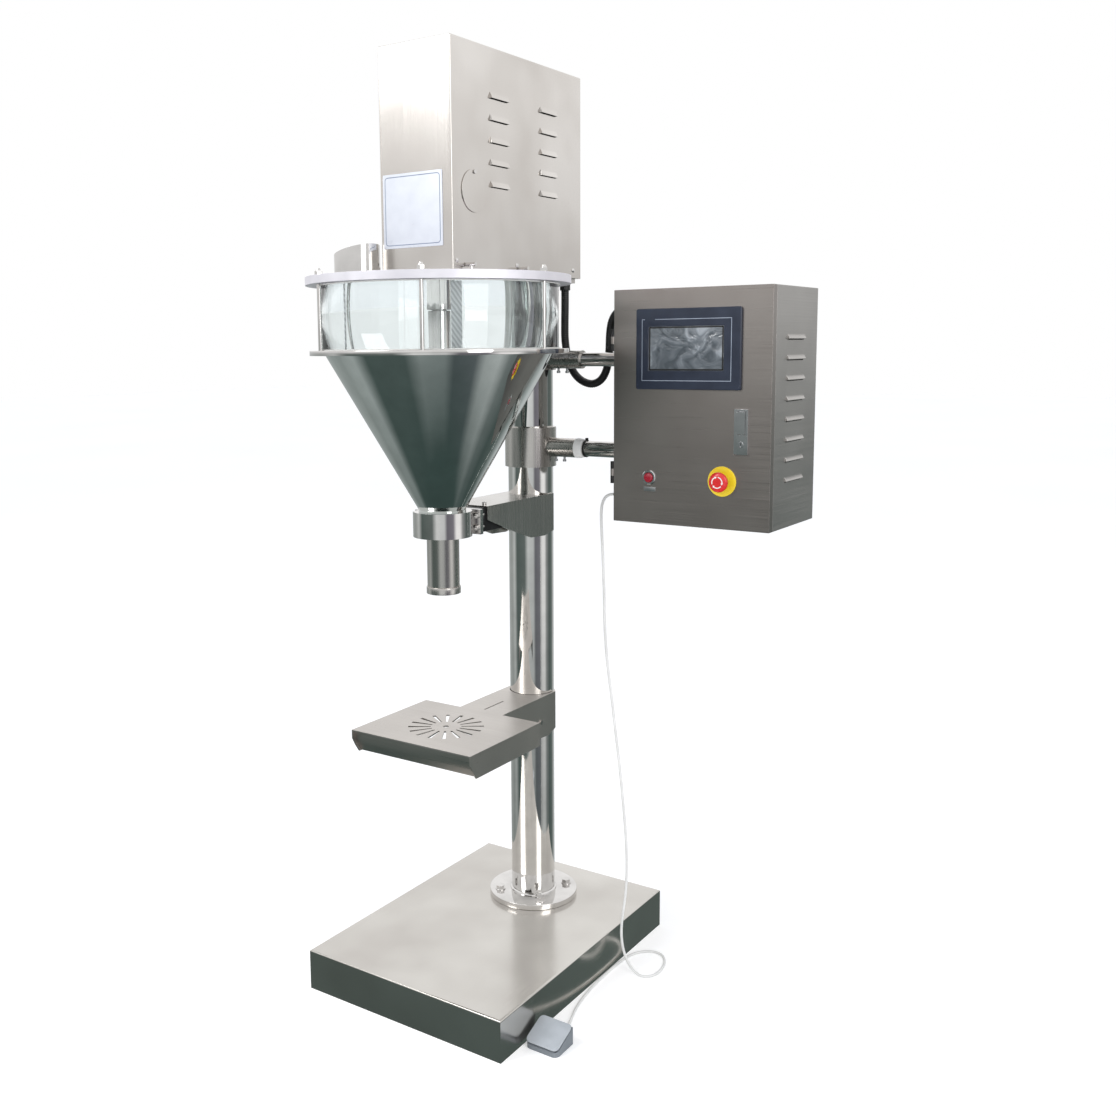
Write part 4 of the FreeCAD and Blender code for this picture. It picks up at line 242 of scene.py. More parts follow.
MATERIALS = {
    # Stainless sheet, bright-rolled and folded: a soft mirror that wavers in large lobes.
    "cover_sheet": steel_sheet("bright_rolled_sheet", "#BDB8B3", "#CFCBC7", 0.17, "Z", 0.0011, 0.000004),
    # Stainless sheet, brushed level: a warm grey whose fine lines blur what it mirrors. This door copy is
    # painted darker than the side's copy: painted shade.
    "box_sheet": steel_sheet("brushed_door_shaded_copy", "#8F8884", "#A09A96", 0.33, "X", 0.0003, 0.000012),
    # The same brushed sheet along the box's depth, painted a little paler than the door's copy: painted
    # light.
    "box_side": steel_sheet("brushed_side_lit_copy", "#A8A5A2", "#B5B2AF", 0.36, "Y", 0.0003, 0.000012),
    # Stainless sheet, satin-rolled: mirrors the column as a soft streak.
    "base_sheet": steel_sheet("satin_rolled_sheet", "#B9B5B0", "#C9C6C1", 0.20, "Y", 0.0004, 0.000008),
    # Stainless plate with a hairline finish: even and rather dull.
    "table_sheet": steel_sheet("hairline_plate", "#B5B0AB", "#C3BEB9", 0.34, "X", 0.0003, 0.000010),
    # Stainless, turned or brushed: a silky shine with thin streaks.
    "brushed_stainless": steel_sheet("brushed_stainless", "#B4B0AC", "#C4C1BD", 0.24, "Z", 0.0002,
                                     0.000006),
    # Stainless, buffed: mirror bright with a little haze.
    "polished_stainless": polished_steel("buffed_stainless", "#C2C0BE", "#D6D4D2", 0.07),
    # Stainless, rolled to a cone and mirror-polished: shows the dark floor below it.
    "cone_stainless": polished_steel("mirror_cone", "#B4BAB8", "#C2C8C6", 0.05, 0.0001),
    # Stainless tube, mirror-polished: long upright streaks.
    "column_stainless": polished_steel("mirror_tube", "#C9C8C6", "#DAD9D7", 0.06, 0.0002),
    # Stainless plate, bead-blasted: pale and matt.
    "lid_stainless": moulded("bead_blasted_plate", "#DEDCE3", "#E8E6EC", 0.46, 1500.0, 0.00002,
                             Metallic=0.75),
    # Acrylic, cast as a tube: clear, with faint wipe marks.
    "clear_acrylic": acrylic(),
    # Acrylic, keyed and cemented: a milky seam.
    "frosted_joint": frosted_joint(),
    # Silicone rubber, moulded: milky and soft.
    "white_rubber": moulded("silicone_gasket", "#DEDEDA", "#E9E9E6", 0.55),
    # Nylon, moulded: black with a dull sheen.
    "black_polymer": moulded("black_nylon", "#0B0B0C", "#151517", 0.42),
    # Soft PVC, extruded: off-white with a slight gloss.
    "white_polymer": moulded("white_pvc", "#D8D8D6", "#E6E6E4", 0.38),
    # Steel, blackened in oil: near black and faintly metallic.
    "dark_block": moulded("blackened_steel", "#0E0E10", "#1B1B1E", 0.4, Metallic=0.4),
    # Aluminium plate, enamelled: a smooth pale blue-grey.
    "data_plate": moulded("enamelled_plate", "#CDD1D9", "#D6DAE1", 0.3, 300.0, 0.00001),
    # Printing ink: flat slate blue.
    "plate_ink": moulded("printed_ink", "#6F7C93", "#7D899F", 0.5),
    # Cast aluminium, painted black: satin with a fine grain.
    "motor_black": moulded("motor_paint", "#131315", "#202023", 0.38, 400.0),
    # Cast aluminium, bare: mid grey with a coarse skin.
    "motor_grey": moulded("cast_aluminium", "#8C8E90", "#A3A5A7", 0.45, 500.0, 0.0001, Metallic=0.9),
    # Neoprene rubber, moulded: dull black.
    "belt_rubber": moulded("belt_rubber", "#111111", "#1C1C1C", 0.7),
    # Steel, zinc-plated: pale grey with a soft shine.
    "zinc_plate": moulded("zinc_plated_steel", "#A7A9AB", "#BEC0C2", 0.34, 60.0, 0.00002, Metallic=1.0),
    # ABS, moulded: light grey and satin.
    "control_units": moulded("abs_housing", "#B9B9B4", "#C9C9C4", 0.5),
    # ABS, moulded: navy and satin.
    "panel_navy": moulded("navy_abs", "#1A2233", "#222B3D", 0.34),
    # Printing ink: pale grey-blue.
    "panel_line": moulded("panel_print", "#8E98A8", "#A2ABB8", 0.4),
    # Glass under a loose plastic film: the film's folds catch the light, and its colour is painted paler
    # along them as painted highlights.
    "screen": film_screen(),
    # Foam rubber, cut: matt black.
    "seal_rubber": moulded("foam_rubber", "#101010", "#1B1B1B", 0.8),
    # Zinc alloy, cast and chromed: mirror bright.
    "latch_chrome": polished_steel("chromed_zinc", "#C4C4C6", "#D8D8DA", 0.10),
    # Acrylic, moulded: deep red and glossy.
    "button_red": moulded("red_acrylic", "#8E0A22", "#A0102A", 0.18, 300.0, 0.00001, Coat_Weight=0.6),
    # Nylon, moulded: bright red with a slight gloss.
    "stop_red": moulded("red_nylon", "#C81B1E", "#DA2624", 0.28, 300.0, 0.00001, Coat_Weight=0.4),
    # Nylon, moulded: strong yellow, satin.
    "stop_yellow": moulded("yellow_nylon", "#E8C91A", "#F2D62C", 0.36),
    # Printing ink: flat white.
    "white_ink": moulded("white_ink", "#E4E0DE", "#F2EEEC", 0.5),
    # Steel, sprayed: mid grey with a fine grain.
    "foot_grey": moulded("grey_paint", "#777D83", "#858B91", 0.45, 500.0),
    # Steel, sprayed: light grey with a fine grain.
    "pedal_grey": moulded("pedal_paint", "#A9AFB5", "#B8BEC4", 0.42, 500.0),
}


# ------------------------------------------------------------------ grids
SWAP = {"X": [2, 0, 1], "Y": [0, 2, 1], "Z": [0, 1, 2]}


def shell(grid, closed=False):
    """Corners and faces of a grid of points: each row is a closed loop, and the rows join up in turn.

    If closed, the last row joins the first; otherwise each end gets a flat cap.
    """
    rows, columns = grid.shape[:2]
    row = np.arange(rows if closed else rows - 1)[:, None]
    column = np.arange(columns)[None, :]
    here, after, right = row * columns, (row + 1) % rows * columns, (column + 1) % columns
    faces = np.stack([here + column, here + right, after + right, after + column], -1)
    faces = faces.reshape(-1, 4).tolist()
    if not closed:
        faces.append(np.arange(columns)[::-1].tolist())
        faces.append((np.arange(columns) + (rows - 1) * columns).tolist())
    return grid.reshape(-1, 3), faces


def eased(outline, radius, steps=4):
    """A closed outline with each corner swapped for a quadratic curve between its two edges."""
    outline = np.asarray(outline, float)
    back, ahead = np.roll(outline, 1, 0) - outline, np.roll(outline, -1, 0) - outline
    lengths = [np.linalg.norm(run, axis=1, keepdims=True) for run in (back, ahead)]
    start, end = (outline + run / length * np.minimum(radius, length * 0.48)
                  for run, length in zip((back, ahead), lengths))
    t = np.linspace(0, 1, steps)[None, :, None]
    curve = (1 - t) ** 2 * start[:, None] + 2 * t * (1 - t) * outline[:, None] + t ** 2 * end[:, None]
    return curve.reshape(-1, 2)


def oblong(low, high, radius, steps=7):
    """A rectangle's outline, from two opposite corners, with its corners rounded by eased."""
    (left, bottom), (right, top) = low, high
    return eased([(left, bottom), (right, bottom), (right, top), (left, top)], radius, steps)


def outward(outline):
    """The outward unit normal at each point of a closed outline."""
    run = np.roll(outline, -1, 0) - np.roll(outline, 1, 0)
    normal = np.stack([run[:, 1], -run[:, 0]], -1)
    after = np.roll(outline, -1, 0)
    area = np.sum(outline[:, 0] * after[:, 1] - after[:, 0] * outline[:, 1])
    length = np.maximum(np.linalg.norm(normal, axis=1, keepdims=True), 1e-12)
    return normal / length * np.sign(area)


def slab(outline, low, high, axis="Z", edge=0.0005, dome=0.0):
    """An outline carried from low to high along an axis, its two rims rounded by edge.

    dome lifts the high cap: extra rows shrink towards the middle while they rise.
    """
    turn = np.linspace(0, np.pi / 2, 4)
    inset = edge * (1 - np.sin(turn))
    rise = math.copysign(edge, high - low) * (1 - np.cos(turn))
    levels = np.concatenate([low + rise, (high - rise)[::-1]])
    shrink = np.concatenate([inset, inset[::-1]])
    flat = outline[None] - outward(outline)[None] * shrink[:, None, None]
    if dome:
        share = np.linspace(0.94, 0.04, 9)[:, None, None]
        middle = outline.mean(0)
        flat = np.concatenate([flat, (outline[None] - middle) * share + middle])
        levels = np.concatenate([levels, high + dome * (1 - share[:, 0, 0] ** 2)])
    height = np.broadcast_to(levels[:, None, None], flat.shape[:2] + (1,))
    return shell(np.concatenate([flat, height], -1)[..., SWAP[axis]])


def rim(outer, inner, low, high, axis="Z", edge=0.0003):
    """A flat frame between two outlines of equal count; its two front edges are chamfered by edge."""
    shoulder = high - math.copysign(edge, high - low)
    steps = ((outer, low), (outer, shoulder), (outer - outward(outer) * edge, high),
             (inner + outward(inner) * edge, high), (inner, shoulder), (inner, low))
    rows = [np.column_stack([line, np.full(len(line), level)]) for line, level in steps]
    return shell(np.stack(rows)[..., SWAP[axis]], closed=True)


def ring(profile, centre=(0, 0, 0), axis="Z", steps=128):
    """A closed profile of radius and height turned about an axis."""
    angle = np.linspace(0, 2 * np.pi, steps, endpoint=False)[:, None]
    radius, height = np.asarray(profile, float).T
    grid = np.stack([radius * np.cos(angle), radius * np.sin(angle), height + 0 * angle], -1)
    return shell(grid[..., SWAP[axis]] + np.asarray(centre), closed=True)


def knob(profile, centre=(0, 0, 0), axis="Z", steps=64):
    """An open profile of radius and height turned about an axis, capped at both ends."""
    radius, height = np.asarray(profile, float).T
    angle = np.linspace(0, 2 * np.pi, steps, endpoint=False)[None]
    grid = np.stack([radius[:, None] * np.cos(angle), radius[:, None] * np.sin(angle),
                     height[:, None] + 0 * angle], -1)
    return shell(grid[..., SWAP[axis]] + np.asarray(centre))


def sweep(path, radius, sides=16):
    """A round section carried along a path, its frame turned as little as the path allows.

    radius is one number or one per point of the path.
    """
    path = np.asarray(path, float)
    way = np.gradient(path, axis=0)
    way /= np.linalg.norm(way, axis=1, keepdims=True)
    across = np.cross(way[0], (0.3, 0.9, 0.2))
    frames = []
    for heading in way:
        across = across - heading * (across @ heading)
        across = across / np.linalg.norm(across)
        frames.append(across)
    first = np.array(frames)
    second = np.cross(way, first)
    angle = np.linspace(0, 2 * np.pi, sides, endpoint=False)[None, :, None]
    reach = np.broadcast_to(np.asarray(radius, float), len(path))[:, None, None]
    grid = path[:, None] + reach * (np.cos(angle) * first[:, None] + np.sin(angle) * second[:, None])
    return shell(grid)


def piece(name, body, finish, shells, stands_for=(), smooth=35):
    """A finished piece from one or more shells; it rides on a body and takes a record's slot."""
    corners, faces, count = [], [], 0
    for points, sides in shells:
        corners.append(points)
        faces += [[corner + count for corner in side] for side in sides]
        count += len(points)
    mesh = bpy.data.meshes.new(name)
    mesh.from_pydata(np.concatenate(corners).tolist(), [], faces)
    return dressed(name, mesh, body, finish, stands_for, smooth)


def dressed(name, mesh, body, finish, stands_for, smooth, bevel=0.0, smooth_flats=False):
    """Normals, shading, material, body and slot for a new mesh."""
    work = bmesh.new()
    work.from_mesh(mesh)
    bmesh.ops.recalc_face_normals(work, faces=work.faces)
    work.to_mesh(mesh)
    work.free()
    mesh.materials.clear()
    mesh.materials.append(MATERIALS[finish])
    mesh.shade_smooth()
    mesh.set_sharp_from_angle(angle=math.radians(smooth))
    made = bpy.data.objects.new(name, mesh)
    bpy.context.scene.collection.objects.link(made)
    if bevel:
        edge = made.modifiers.new("eased_edges", "BEVEL")
        edge.width = bevel
        edge.segments = 2
        edge.limit_method = "ANGLE"
        edge.angle_limit = math.radians(40)
    if smooth_flats:
        flats = made.modifiers.new("flat_sheets", "WEIGHTED_NORMAL")
        flats.keep_sharp = True
    if body:
        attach(made, body)
    if stands_for:
        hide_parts(*stands_for)
    return made


def eased_copy(node, finish=None, bevel=0.0004, smooth=32):
    """A CAD node's own shape with its seams merged, flats made whole and edges softly broken."""
    mesh = frame["nodes"][node].data.copy()
    work = bmesh.new()
    work.from_mesh(mesh)
    bmesh.ops.remove_doubles(work, verts=work.verts, dist=2e-6)
    bmesh.ops.dissolve_limit(work, angle_limit=math.radians(0.6), verts=work.verts, edges=work.edges)
    work.to_mesh(mesh)
    work.free()
    return dressed(node + "_finished", mesh, BODY_OF[node], finish or SLOT_OF[node], (node,),
                   smooth, bevel, smooth_flats=True)


# ------------------------------------------------------------------ cords
FOOT_CORD_ROUTE = (
    (.241, -.045, 1.063), (.228, -.045, 1.062), (.215, -.045, 1.051), (.209, -.045, 1.028),
    (.210, -.045, .990), (.214, -.045, .925), (.217, -.045, .848), (.219, -.046, .768),
    (.226, -.047, .692), (.238, -.048, .616), (.249, -.049, .537), (.261, -.051, .457),
    (.270, -.051, .377), (.278, -.052, .302), (.281, -.053, .232), (.278, -.054, .172),
    (.271, -.056, .122), (.269, -.058, .078), (.277, -.061, .042), (.294, -.065, .016),
    (.318, -.071, .0032), (.340, -.066, .0032), (.351, -.044, .0032), (.350, -.012, .0032),
    (.340, .020, .0032), (.320, .041, .0032), (.296, .041, .0032), (.275, .024, .0032),
    (.262, -.004, .0032), (.258, -.040, .0032), (.2565, -.084, .0032), (.257, -.132, .0032),
    (.260, -.180, .0032), (.266, -.226, .0032), (.275, -.268, .0032), (.288, -.304, .0045),
    (.297, -.332, .0075), (.302, -.354, .011), (.3045, -.374, .012),
)
HOSE_ROUTE = (
    (.069, .038, 1.500), (.069, .038, 1.462), (.068, .0383, 1.430), (.068, .0383, 1.390),
    (.075, .039, 1.348),
    (.091, .039, 1.316), (.114, .0385, 1.298), (.141, .038, 1.292), (.164, .038, 1.303),
    (.178, .038, 1.330), (.182, .038, 1.368), (.1825, .038, 1.405), (.188, .038, 1.434),
    (.204, .038, 1.453), (.223, .038, 1.460), (.241, .038, 1.460),
)


def smooth_line(name, route, resolution):
    """The points of a NURBS line whose control points are a route."""
    curve = bpy.data.curves.new(name + "_line", "CURVE")
    curve.dimensions = "3D"
    spline = curve.splines.new("NURBS")
    spline.points.add(len(route) - 1)
    spline.points.foreach_set("co", [number for point in route for number in (*point, 1.0)])
    spline.order_u = 3
    spline.use_endpoint_u = True
    spline.resolution_u = resolution
    line = bpy.data.objects.new(name + "_line", curve)
    mesh = bpy.data.meshes.new_from_object(line)
    points = np.array([corner.co for corner in mesh.vertices])
    bpy.data.objects.remove(line)
    bpy.data.meshes.remove(mesh)
    return points


def line_length(points):
    """The sum of the distances between neighbouring points."""
    return float(np.linalg.norm(np.diff(points, axis=0), axis=1).sum())


def evenly(points, step):
    """The same line, with points at equal steps along it."""
    along = np.concatenate([[0], np.cumsum(np.linalg.norm(np.diff(points, axis=0), axis=1))])
    wanted = np.linspace(0, along[-1], max(2, int(along[-1] / step)))
    return np.stack([np.interp(wanted, along, points[:, axis]) for axis in range(3)], -1)


def make_cords():
    """The foot switch's round cord, and the ribbed conduit from the head plate to the control box."""
    line = smooth_line("foot_cord", FOOT_CORD_ROUTE, 14)
    cord = piece("foot_switch_cord", None, "white_polymer", [sweep(line, 0.003, 14)],
                 ("foot_cord_drop", "foot_cord"))
    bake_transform(cord)

    line = evenly(smooth_line("hose", HOSE_ROUTE, 20), 0.0008)
    along = np.linspace(0, line_length(line), len(line))
    ribs = 0.0088 - 0.0006 * (0.5 + 0.5 * np.cos(along / 0.0042 * 2 * np.pi))
    hose = piece("power_conduit", None, "black_polymer", [sweep(line, ribs, 22)],
                 ("hose_upper", "hose_lower"))
    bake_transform(hose)


make_cords()


# ------------------------------------------------------------------ turned parts
def make_hopper():
    """Cone, ring, window with its two cemented seams, gaskets and the discharge tube.

    Each is a closed profile of radius and height, its corners eased, turned about the hopper's axis.
    A seam is a thin slice of a ring, as wide as its arc at the window's inner wall.
    """
    mouth, neck, bore, spout = 0.2266, 0.049, 0.0305, 0.0335
    ring_low, ring_high, ring_reach = 1.363, 1.373, 0.260
    window_in, window_out, window_low, window_high = 0.234, 0.240, 1.375, 1.498
    gasket, seam_margin = 0.002, 0.0015
    flange_low, flange_high, spout_end = 1.005, 1.019, 0.874

    cone = [(mouth, ring_low), (0.229, ring_low), (neck, 1.049), (neck, flange_high),
            (bore, flange_high), (bore, 1.041), (0.0466, 1.0495)]
    piece("hopper_cone_finished", "frame", "cone_stainless",
          [ring(eased(cone, 0.0012, 3), HOPPER, steps=256)], ("hopper_cone",))
    flat_ring = [(mouth, ring_low), (ring_reach, ring_low), (ring_reach, ring_high), (mouth, ring_high)]
    piece("hopper_ring_finished", "frame", "polished_stainless",
          [ring(eased(flat_ring, 0.0012), HOPPER, steps=256)], ("hopper_ring",))
    wall = [(window_in, window_low), (window_out, window_low), (window_out, window_high),
            (window_in, window_high)]
    piece("hopper_window_finished", "frame", "clear_acrylic",
          [ring(eased(wall, 0.0006, 3), HOPPER, steps=256)], ("hopper_window",))
    seals = []
    for low in (ring_high, window_high):
        band = [(0.231, low), (0.243, low), (0.243, low + gasket), (0.231, low + gasket)]
        seals.append(ring(eased(band, 0.0008, 3), HOPPER, steps=192))
    piece("window_gaskets_finished", "frame", "white_rubber", seals, ("window_gaskets",))
    for name, azimuth, width in (("window_seam_front", 45.0, 0.020), ("window_seam_left", -11.0, 0.004)):
        half = width / 2 / 0.2335
        angle = math.radians(azimuth - 90) + np.linspace(-half, half, 13)
        outer, inner = (np.stack([np.cos(angle), np.sin(angle)], -1) * radius
                        for radius in (0.2338, 0.2328))
        outline = np.concatenate([outer, inner[::-1]]) + HOPPER[:2]
        strip = piece(name, "frame", "frosted_joint",
                      [slab(outline, window_low + seam_margin, window_high - seam_margin, edge=0.0001)])
        strip.visible_shadow = False
    tube = [(bore, spout_end), (spout, spout_end), (spout, flange_low), (neck, flange_low),
            (neck, flange_high), (bore, flange_high)]
    collar = [(spout, spout_end), (0.0355, spout_end), (0.0355, 0.888), (spout, 0.888)]
    piece("discharge_tube_finished", "frame", "brushed_stainless",
          [ring(eased(tube, 0.0006, 3), HOPPER), ring(eased(collar, 0.0005, 3), HOPPER)],
          ("discharge_tube",))


def make_column():
    """The column's tube with its cap, and the foot flange with a weld bead round the tube.

    Each is a closed profile of radius and height turned about the column's axis.
    """
    inner, outer, foot, top = 0.048, 0.051, 0.088, 1.504
    cap_low, cap_high, cap_reach, cable_hole = 1.484, 1.516, 0.060, 0.014
    flange_high, flange_reach = 0.101, 0.103
    tube = [(inner, foot), (outer, foot), (outer, top), (cap_reach, top), (cap_reach, cap_high),
            (cable_hole, cap_high), (cable_hole, cap_low), (inner, cap_low)]
    piece("column_finished", "frame", "column_stainless", [ring(eased(tube, 0.0005, 3), steps=160)],
          ("column",))
    bead = [(0.0508, 0.1005), (0.055, 0.1005), (0.0542, 0.103), (0.052, 0.1045), (0.0508, 0.105)]
    flange = [(outer, foot), (flange_reach, foot), (flange_reach, flange_high), (outer, flange_high)]
    piece("column_flange_finished", "frame", "polished_stainless",
          [ring(eased(flange, 0.0012), steps=160), ring(bead, steps=160)], ("column_flange",))


def make_auger():
    """The auger: a core and a flight, a section of radius and lift that climbs one pitch a turn."""
    low, pitch, turns = 0.876, 0.040, 6
    angle = np.linspace(0, 2 * np.pi * turns, turns * 72 + 1)
    climb = low + pitch * angle / (2 * np.pi)
    corners = ((0.0095, 0.0), (0.0293, 0.0), (0.0295, 0.0003), (0.0295, 0.0022), (0.0293, 0.0025),
               (0.0095, 0.0025))
    radius, lift = np.array(corners).T
    grid = np.stack([radius * np.cos(angle)[:, None], radius * np.sin(angle)[:, None],
                     climb[:, None] + lift], -1) + HOPPER
    core = knob([(0.0085, low), (0.010, low + 0.0015), (0.010, 1.319)], HOPPER, steps=48)
    piece("auger_screw_finished", "auger", "polished_stainless", [shell(grid), core], ("auger_screw",))


make_hopper()
make_column()
make_auger()


# ------------------------------------------------------------------ parts kept from the solids
# A node's finish, or None for its own slot's, and how far its edges are broken.
FINISHES = {
    "base_cover": ("base_sheet", 0.0), "base_frame": (None, 0.0), "frame_screws": (None, 0.0003),
    "head_plate": (None, 0.0005), "motor_cover": ("cover_sheet", 0.0),
    "inspection_disc": ("cover_sheet", 0.0002),
    "hopper_lid": (None, 0.0012), "hopper_fasteners": (None, 0.0003), "neck_clamp": (None, 0.0008),
    "clamp_block": (None, 0.0006), "neck_bracket": (None, 0.0005), "feed_inlet": (None, 0.0003),
    "drive_stand": (None, 0.0004), "servo_motor": (None, 0.0012), "stirrer_motor": (None, 0.0006),
    "stirrer_belt": (None, 0.0), "small_pulley": (None, 0.0003), "shaft_housing": (None, 0.0004),
    "stirrer_spindle": (None, 0.0004), "stirrer_blades": (None, 0.0004), "drive_shaft": (None, 0.0003),
    "table_tray": ("table_sheet", 0.0004), "table_bracket": ("table_sheet", 0.0005),
    "table_clamp": (None, 0.0005), "arm_collars": (None, 0.0008), "arm_tubes": (None, 0.0003),
    "cabinet_shell": ("box_side", 0.0005), "mounting_panel": (None, 0.0003), "drive_units": (None, 0.0008),
    "rail_units": (None, 0.0005), "cabinet_hinges": (None, 0.0003), "cabinet_glands": (None, 0.0004),
    "head_gland": (None, 0.0005), "door_panel": ("box_sheet", 0.0005), "door_seal": (None, 0.0005),
    "latch_plate": (None, 0.0004),
}
for kept, (look, width) in FINISHES.items():
    eased_copy(kept, look, width)


# ------------------------------------------------------------------ plates, panel and controls
DOOR_FACE = -0.080
DOOR_BACK = -0.0685
PANEL_FACE = DOOR_FACE - 0.006
CONTROL_HEIGHT = 1.108
BUTTON_X = 0.342
STOP_X = 0.5033


def make_data_plate():
    """The blank data plate on the cover's front: an enamelled plate with a printed border."""
    low, high, face = (-0.080, 1.571), (0.066, 1.713), -0.4055
    piece("data_plate_finished", "frame", "data_plate",
          [slab(oblong(low, high, 0.002, 4), -0.404, face, "Y", edge=0.0003)], ("data_plate",))
    outer = oblong((low[0] + 0.005, low[1] + 0.005), (high[0] - 0.005, high[1] - 0.005), 0.008, 5)
    inner = outer - outward(outer) * 0.0016
    piece("data_plate_border", "frame", "plate_ink", [rim(outer, inner, face, face - 0.0001, "Y", 0.00003)])


def make_screen():
    """The operator panel: a moulded bezel round a recessed screen, with a thin printed line."""
    glass_low, glass_high = (0.342, 1.326), (0.505, 1.414)
    bezel = oblong((0.313, 1.2885), (0.541, 1.450), 0.005)
    hole = oblong(glass_low, glass_high, 0.0015)
    case = slab(oblong((0.318, 1.2935), (0.536, 1.445), 0.003, 4), DOOR_FACE, DOOR_FACE + 0.036, "Y")
    piece("screen_bezel", "door", "panel_navy",
          [rim(bezel, hole, DOOR_FACE, PANEL_FACE, "Y", 0.0012), case], ("screen_unit",))
    piece("screen_glass_finished", "door", "screen",
          [slab(oblong(glass_low, glass_high, 0.001, 3), DOOR_FACE, PANEL_FACE + 0.0008, "Y",
                edge=0.0002)], ("screen_glass",))
    outer = [(0.356, 1.429), (0.5215, 1.429), (0.5215, 1.3055), (0.3265, 1.3055), (0.3265, 1.429),
             (0.333, 1.429)]
    inner = [(0.333, 1.4278), (0.3277, 1.4278), (0.3277, 1.3067), (0.5203, 1.3067), (0.5203, 1.4278),
             (0.356, 1.4278)]
    piece("screen_line", "door", "panel_line",
          [slab(np.array(outer + inner), PANEL_FACE, PANEL_FACE - 0.0001, "Y", edge=0.00002)])
    edge = oblong((0.3425, 1.3265), (0.5045, 1.4135), 0.001, 3)
    piece("screen_mask", "door", "black_polymer",
          [rim(edge, edge - outward(edge) * 0.003, PANEL_FACE + 0.0009, PANEL_FACE + 0.0007, "Y", 0.00005)])


def arrow_band(inner, outer, start, end):
    """The outline of a curved arrow between two radii: an arc that ends in a wider point."""
    angle = np.radians(np.linspace(start, end, 24))
    arc = [np.stack([np.cos(angle), np.sin(angle)], -1) * radius for radius in (outer, inner)]
    width, lean = outer - inner, angle[-1] + np.radians(22) * np.sign(end - start)
    head = np.array([[np.cos(angle[-1]), np.sin(angle[-1])]] * 3) * np.array(
        [[outer + width * 0.8], [0], [inner - width * 0.8]])
    head[1] = np.array([np.cos(lean), np.sin(lean)]) * (outer + inner) / 2
    return np.concatenate([arc[0], head, arc[1][::-1]])


def make_controls():
    """Push button, emergency stop, their contact blocks behind the door, and a bare label."""
    button, stop = (BUTTON_X, 0, CONTROL_HEIGHT), (STOP_X, 0, CONTROL_HEIGHT)
    bezel = [(0.0099, -0.0690), (0.0110, -0.0690), (0.0110, -0.0800), (0.0150, -0.0800),
             (0.0150, -0.0822), (0.0138, -0.0830), (0.0108, -0.0830), (0.0099, -0.0822)]
    collar = [(0.0074, -0.0690), (0.0110, -0.0690), (0.0110, -0.0820), (0.0145, -0.0820),
              (0.0145, -0.0885), (0.0074, -0.0885)]
    piece("switch_bodies_finished", "door", "latch_chrome",
          [ring(bezel, button, "Y", 72), ring(collar, stop, "Y", 72)], ("switch_bodies",), smooth=25)
    blocks = [slab(oblong((x - 0.015, CONTROL_HEIGHT - 0.015), (x + 0.015, CONTROL_HEIGHT + 0.015), 0.001,
                          3), DOOR_BACK, -0.039, "Y") for x in (BUTTON_X, STOP_X)]
    piece("contact_blocks", "door", "black_polymer", blocks)
    cap = [(0.0048, -0.0720), (0.0048, -0.0745), (0.0092, -0.0747), (0.0095, -0.0752), (0.0095, -0.0850),
           (0.0091, -0.0860), (0.0082, -0.0866), (0.0055, -0.0872), (0.0020, -0.0875), (0.0002, -0.0875)]
    piece("button_cap_finished", "start_button", "button_red", [knob(cap, button, "Y")], ("button_cap",))
    plate = [(0.011, -0.0800), (0.030, -0.0800), (0.030, -0.0814), (0.0294, -0.0820), (0.011, -0.0820)]
    piece("stop_ring_finished", "door", "stop_yellow", [ring(plate, stop, "Y", 96)], ("stop_ring",))
    head = [(0.007, -0.0740), (0.007, -0.0932), (0.012, -0.0938), (0.0180, -0.0944), (0.0196, -0.0954),
            (0.0200, -0.0968), (0.0199, -0.0988), (0.0190, -0.1006), (0.0172, -0.1022), (0.0145, -0.1033),
            (0.0110, -0.1040), (0.0060, -0.1042), (0.0003, -0.1042)]
    piece("stop_head_finished", "emergency_stop", "stop_red", [knob(head, stop, "Y", 96)], ("stop_head",))
    arrows = [slab(arrow_band(0.0098, 0.0118, start, start - 85) + (STOP_X, CONTROL_HEIGHT),
                   -0.1040, -0.10445, "Y", edge=0.00005) for start in (80, 200, 320)]
    piece("stop_arrows", "emergency_stop", "white_ink", arrows)
    label = slab(oblong((0.330, 1.079), (0.357, 1.088), 0.0008, 3), DOOR_FACE, DOOR_FACE - 0.0008, "Y",
                 edge=0.0002)
    piece("button_label", "door", "zinc_plate", [label])


def make_latch():
    """The latch's paddle and its keyed lock barrel, chromed."""
    for node, width in (("latch_paddle", 0.0010), ("lock_barrel", 0.0003)):
        eased_copy(node, "latch_chrome", width)


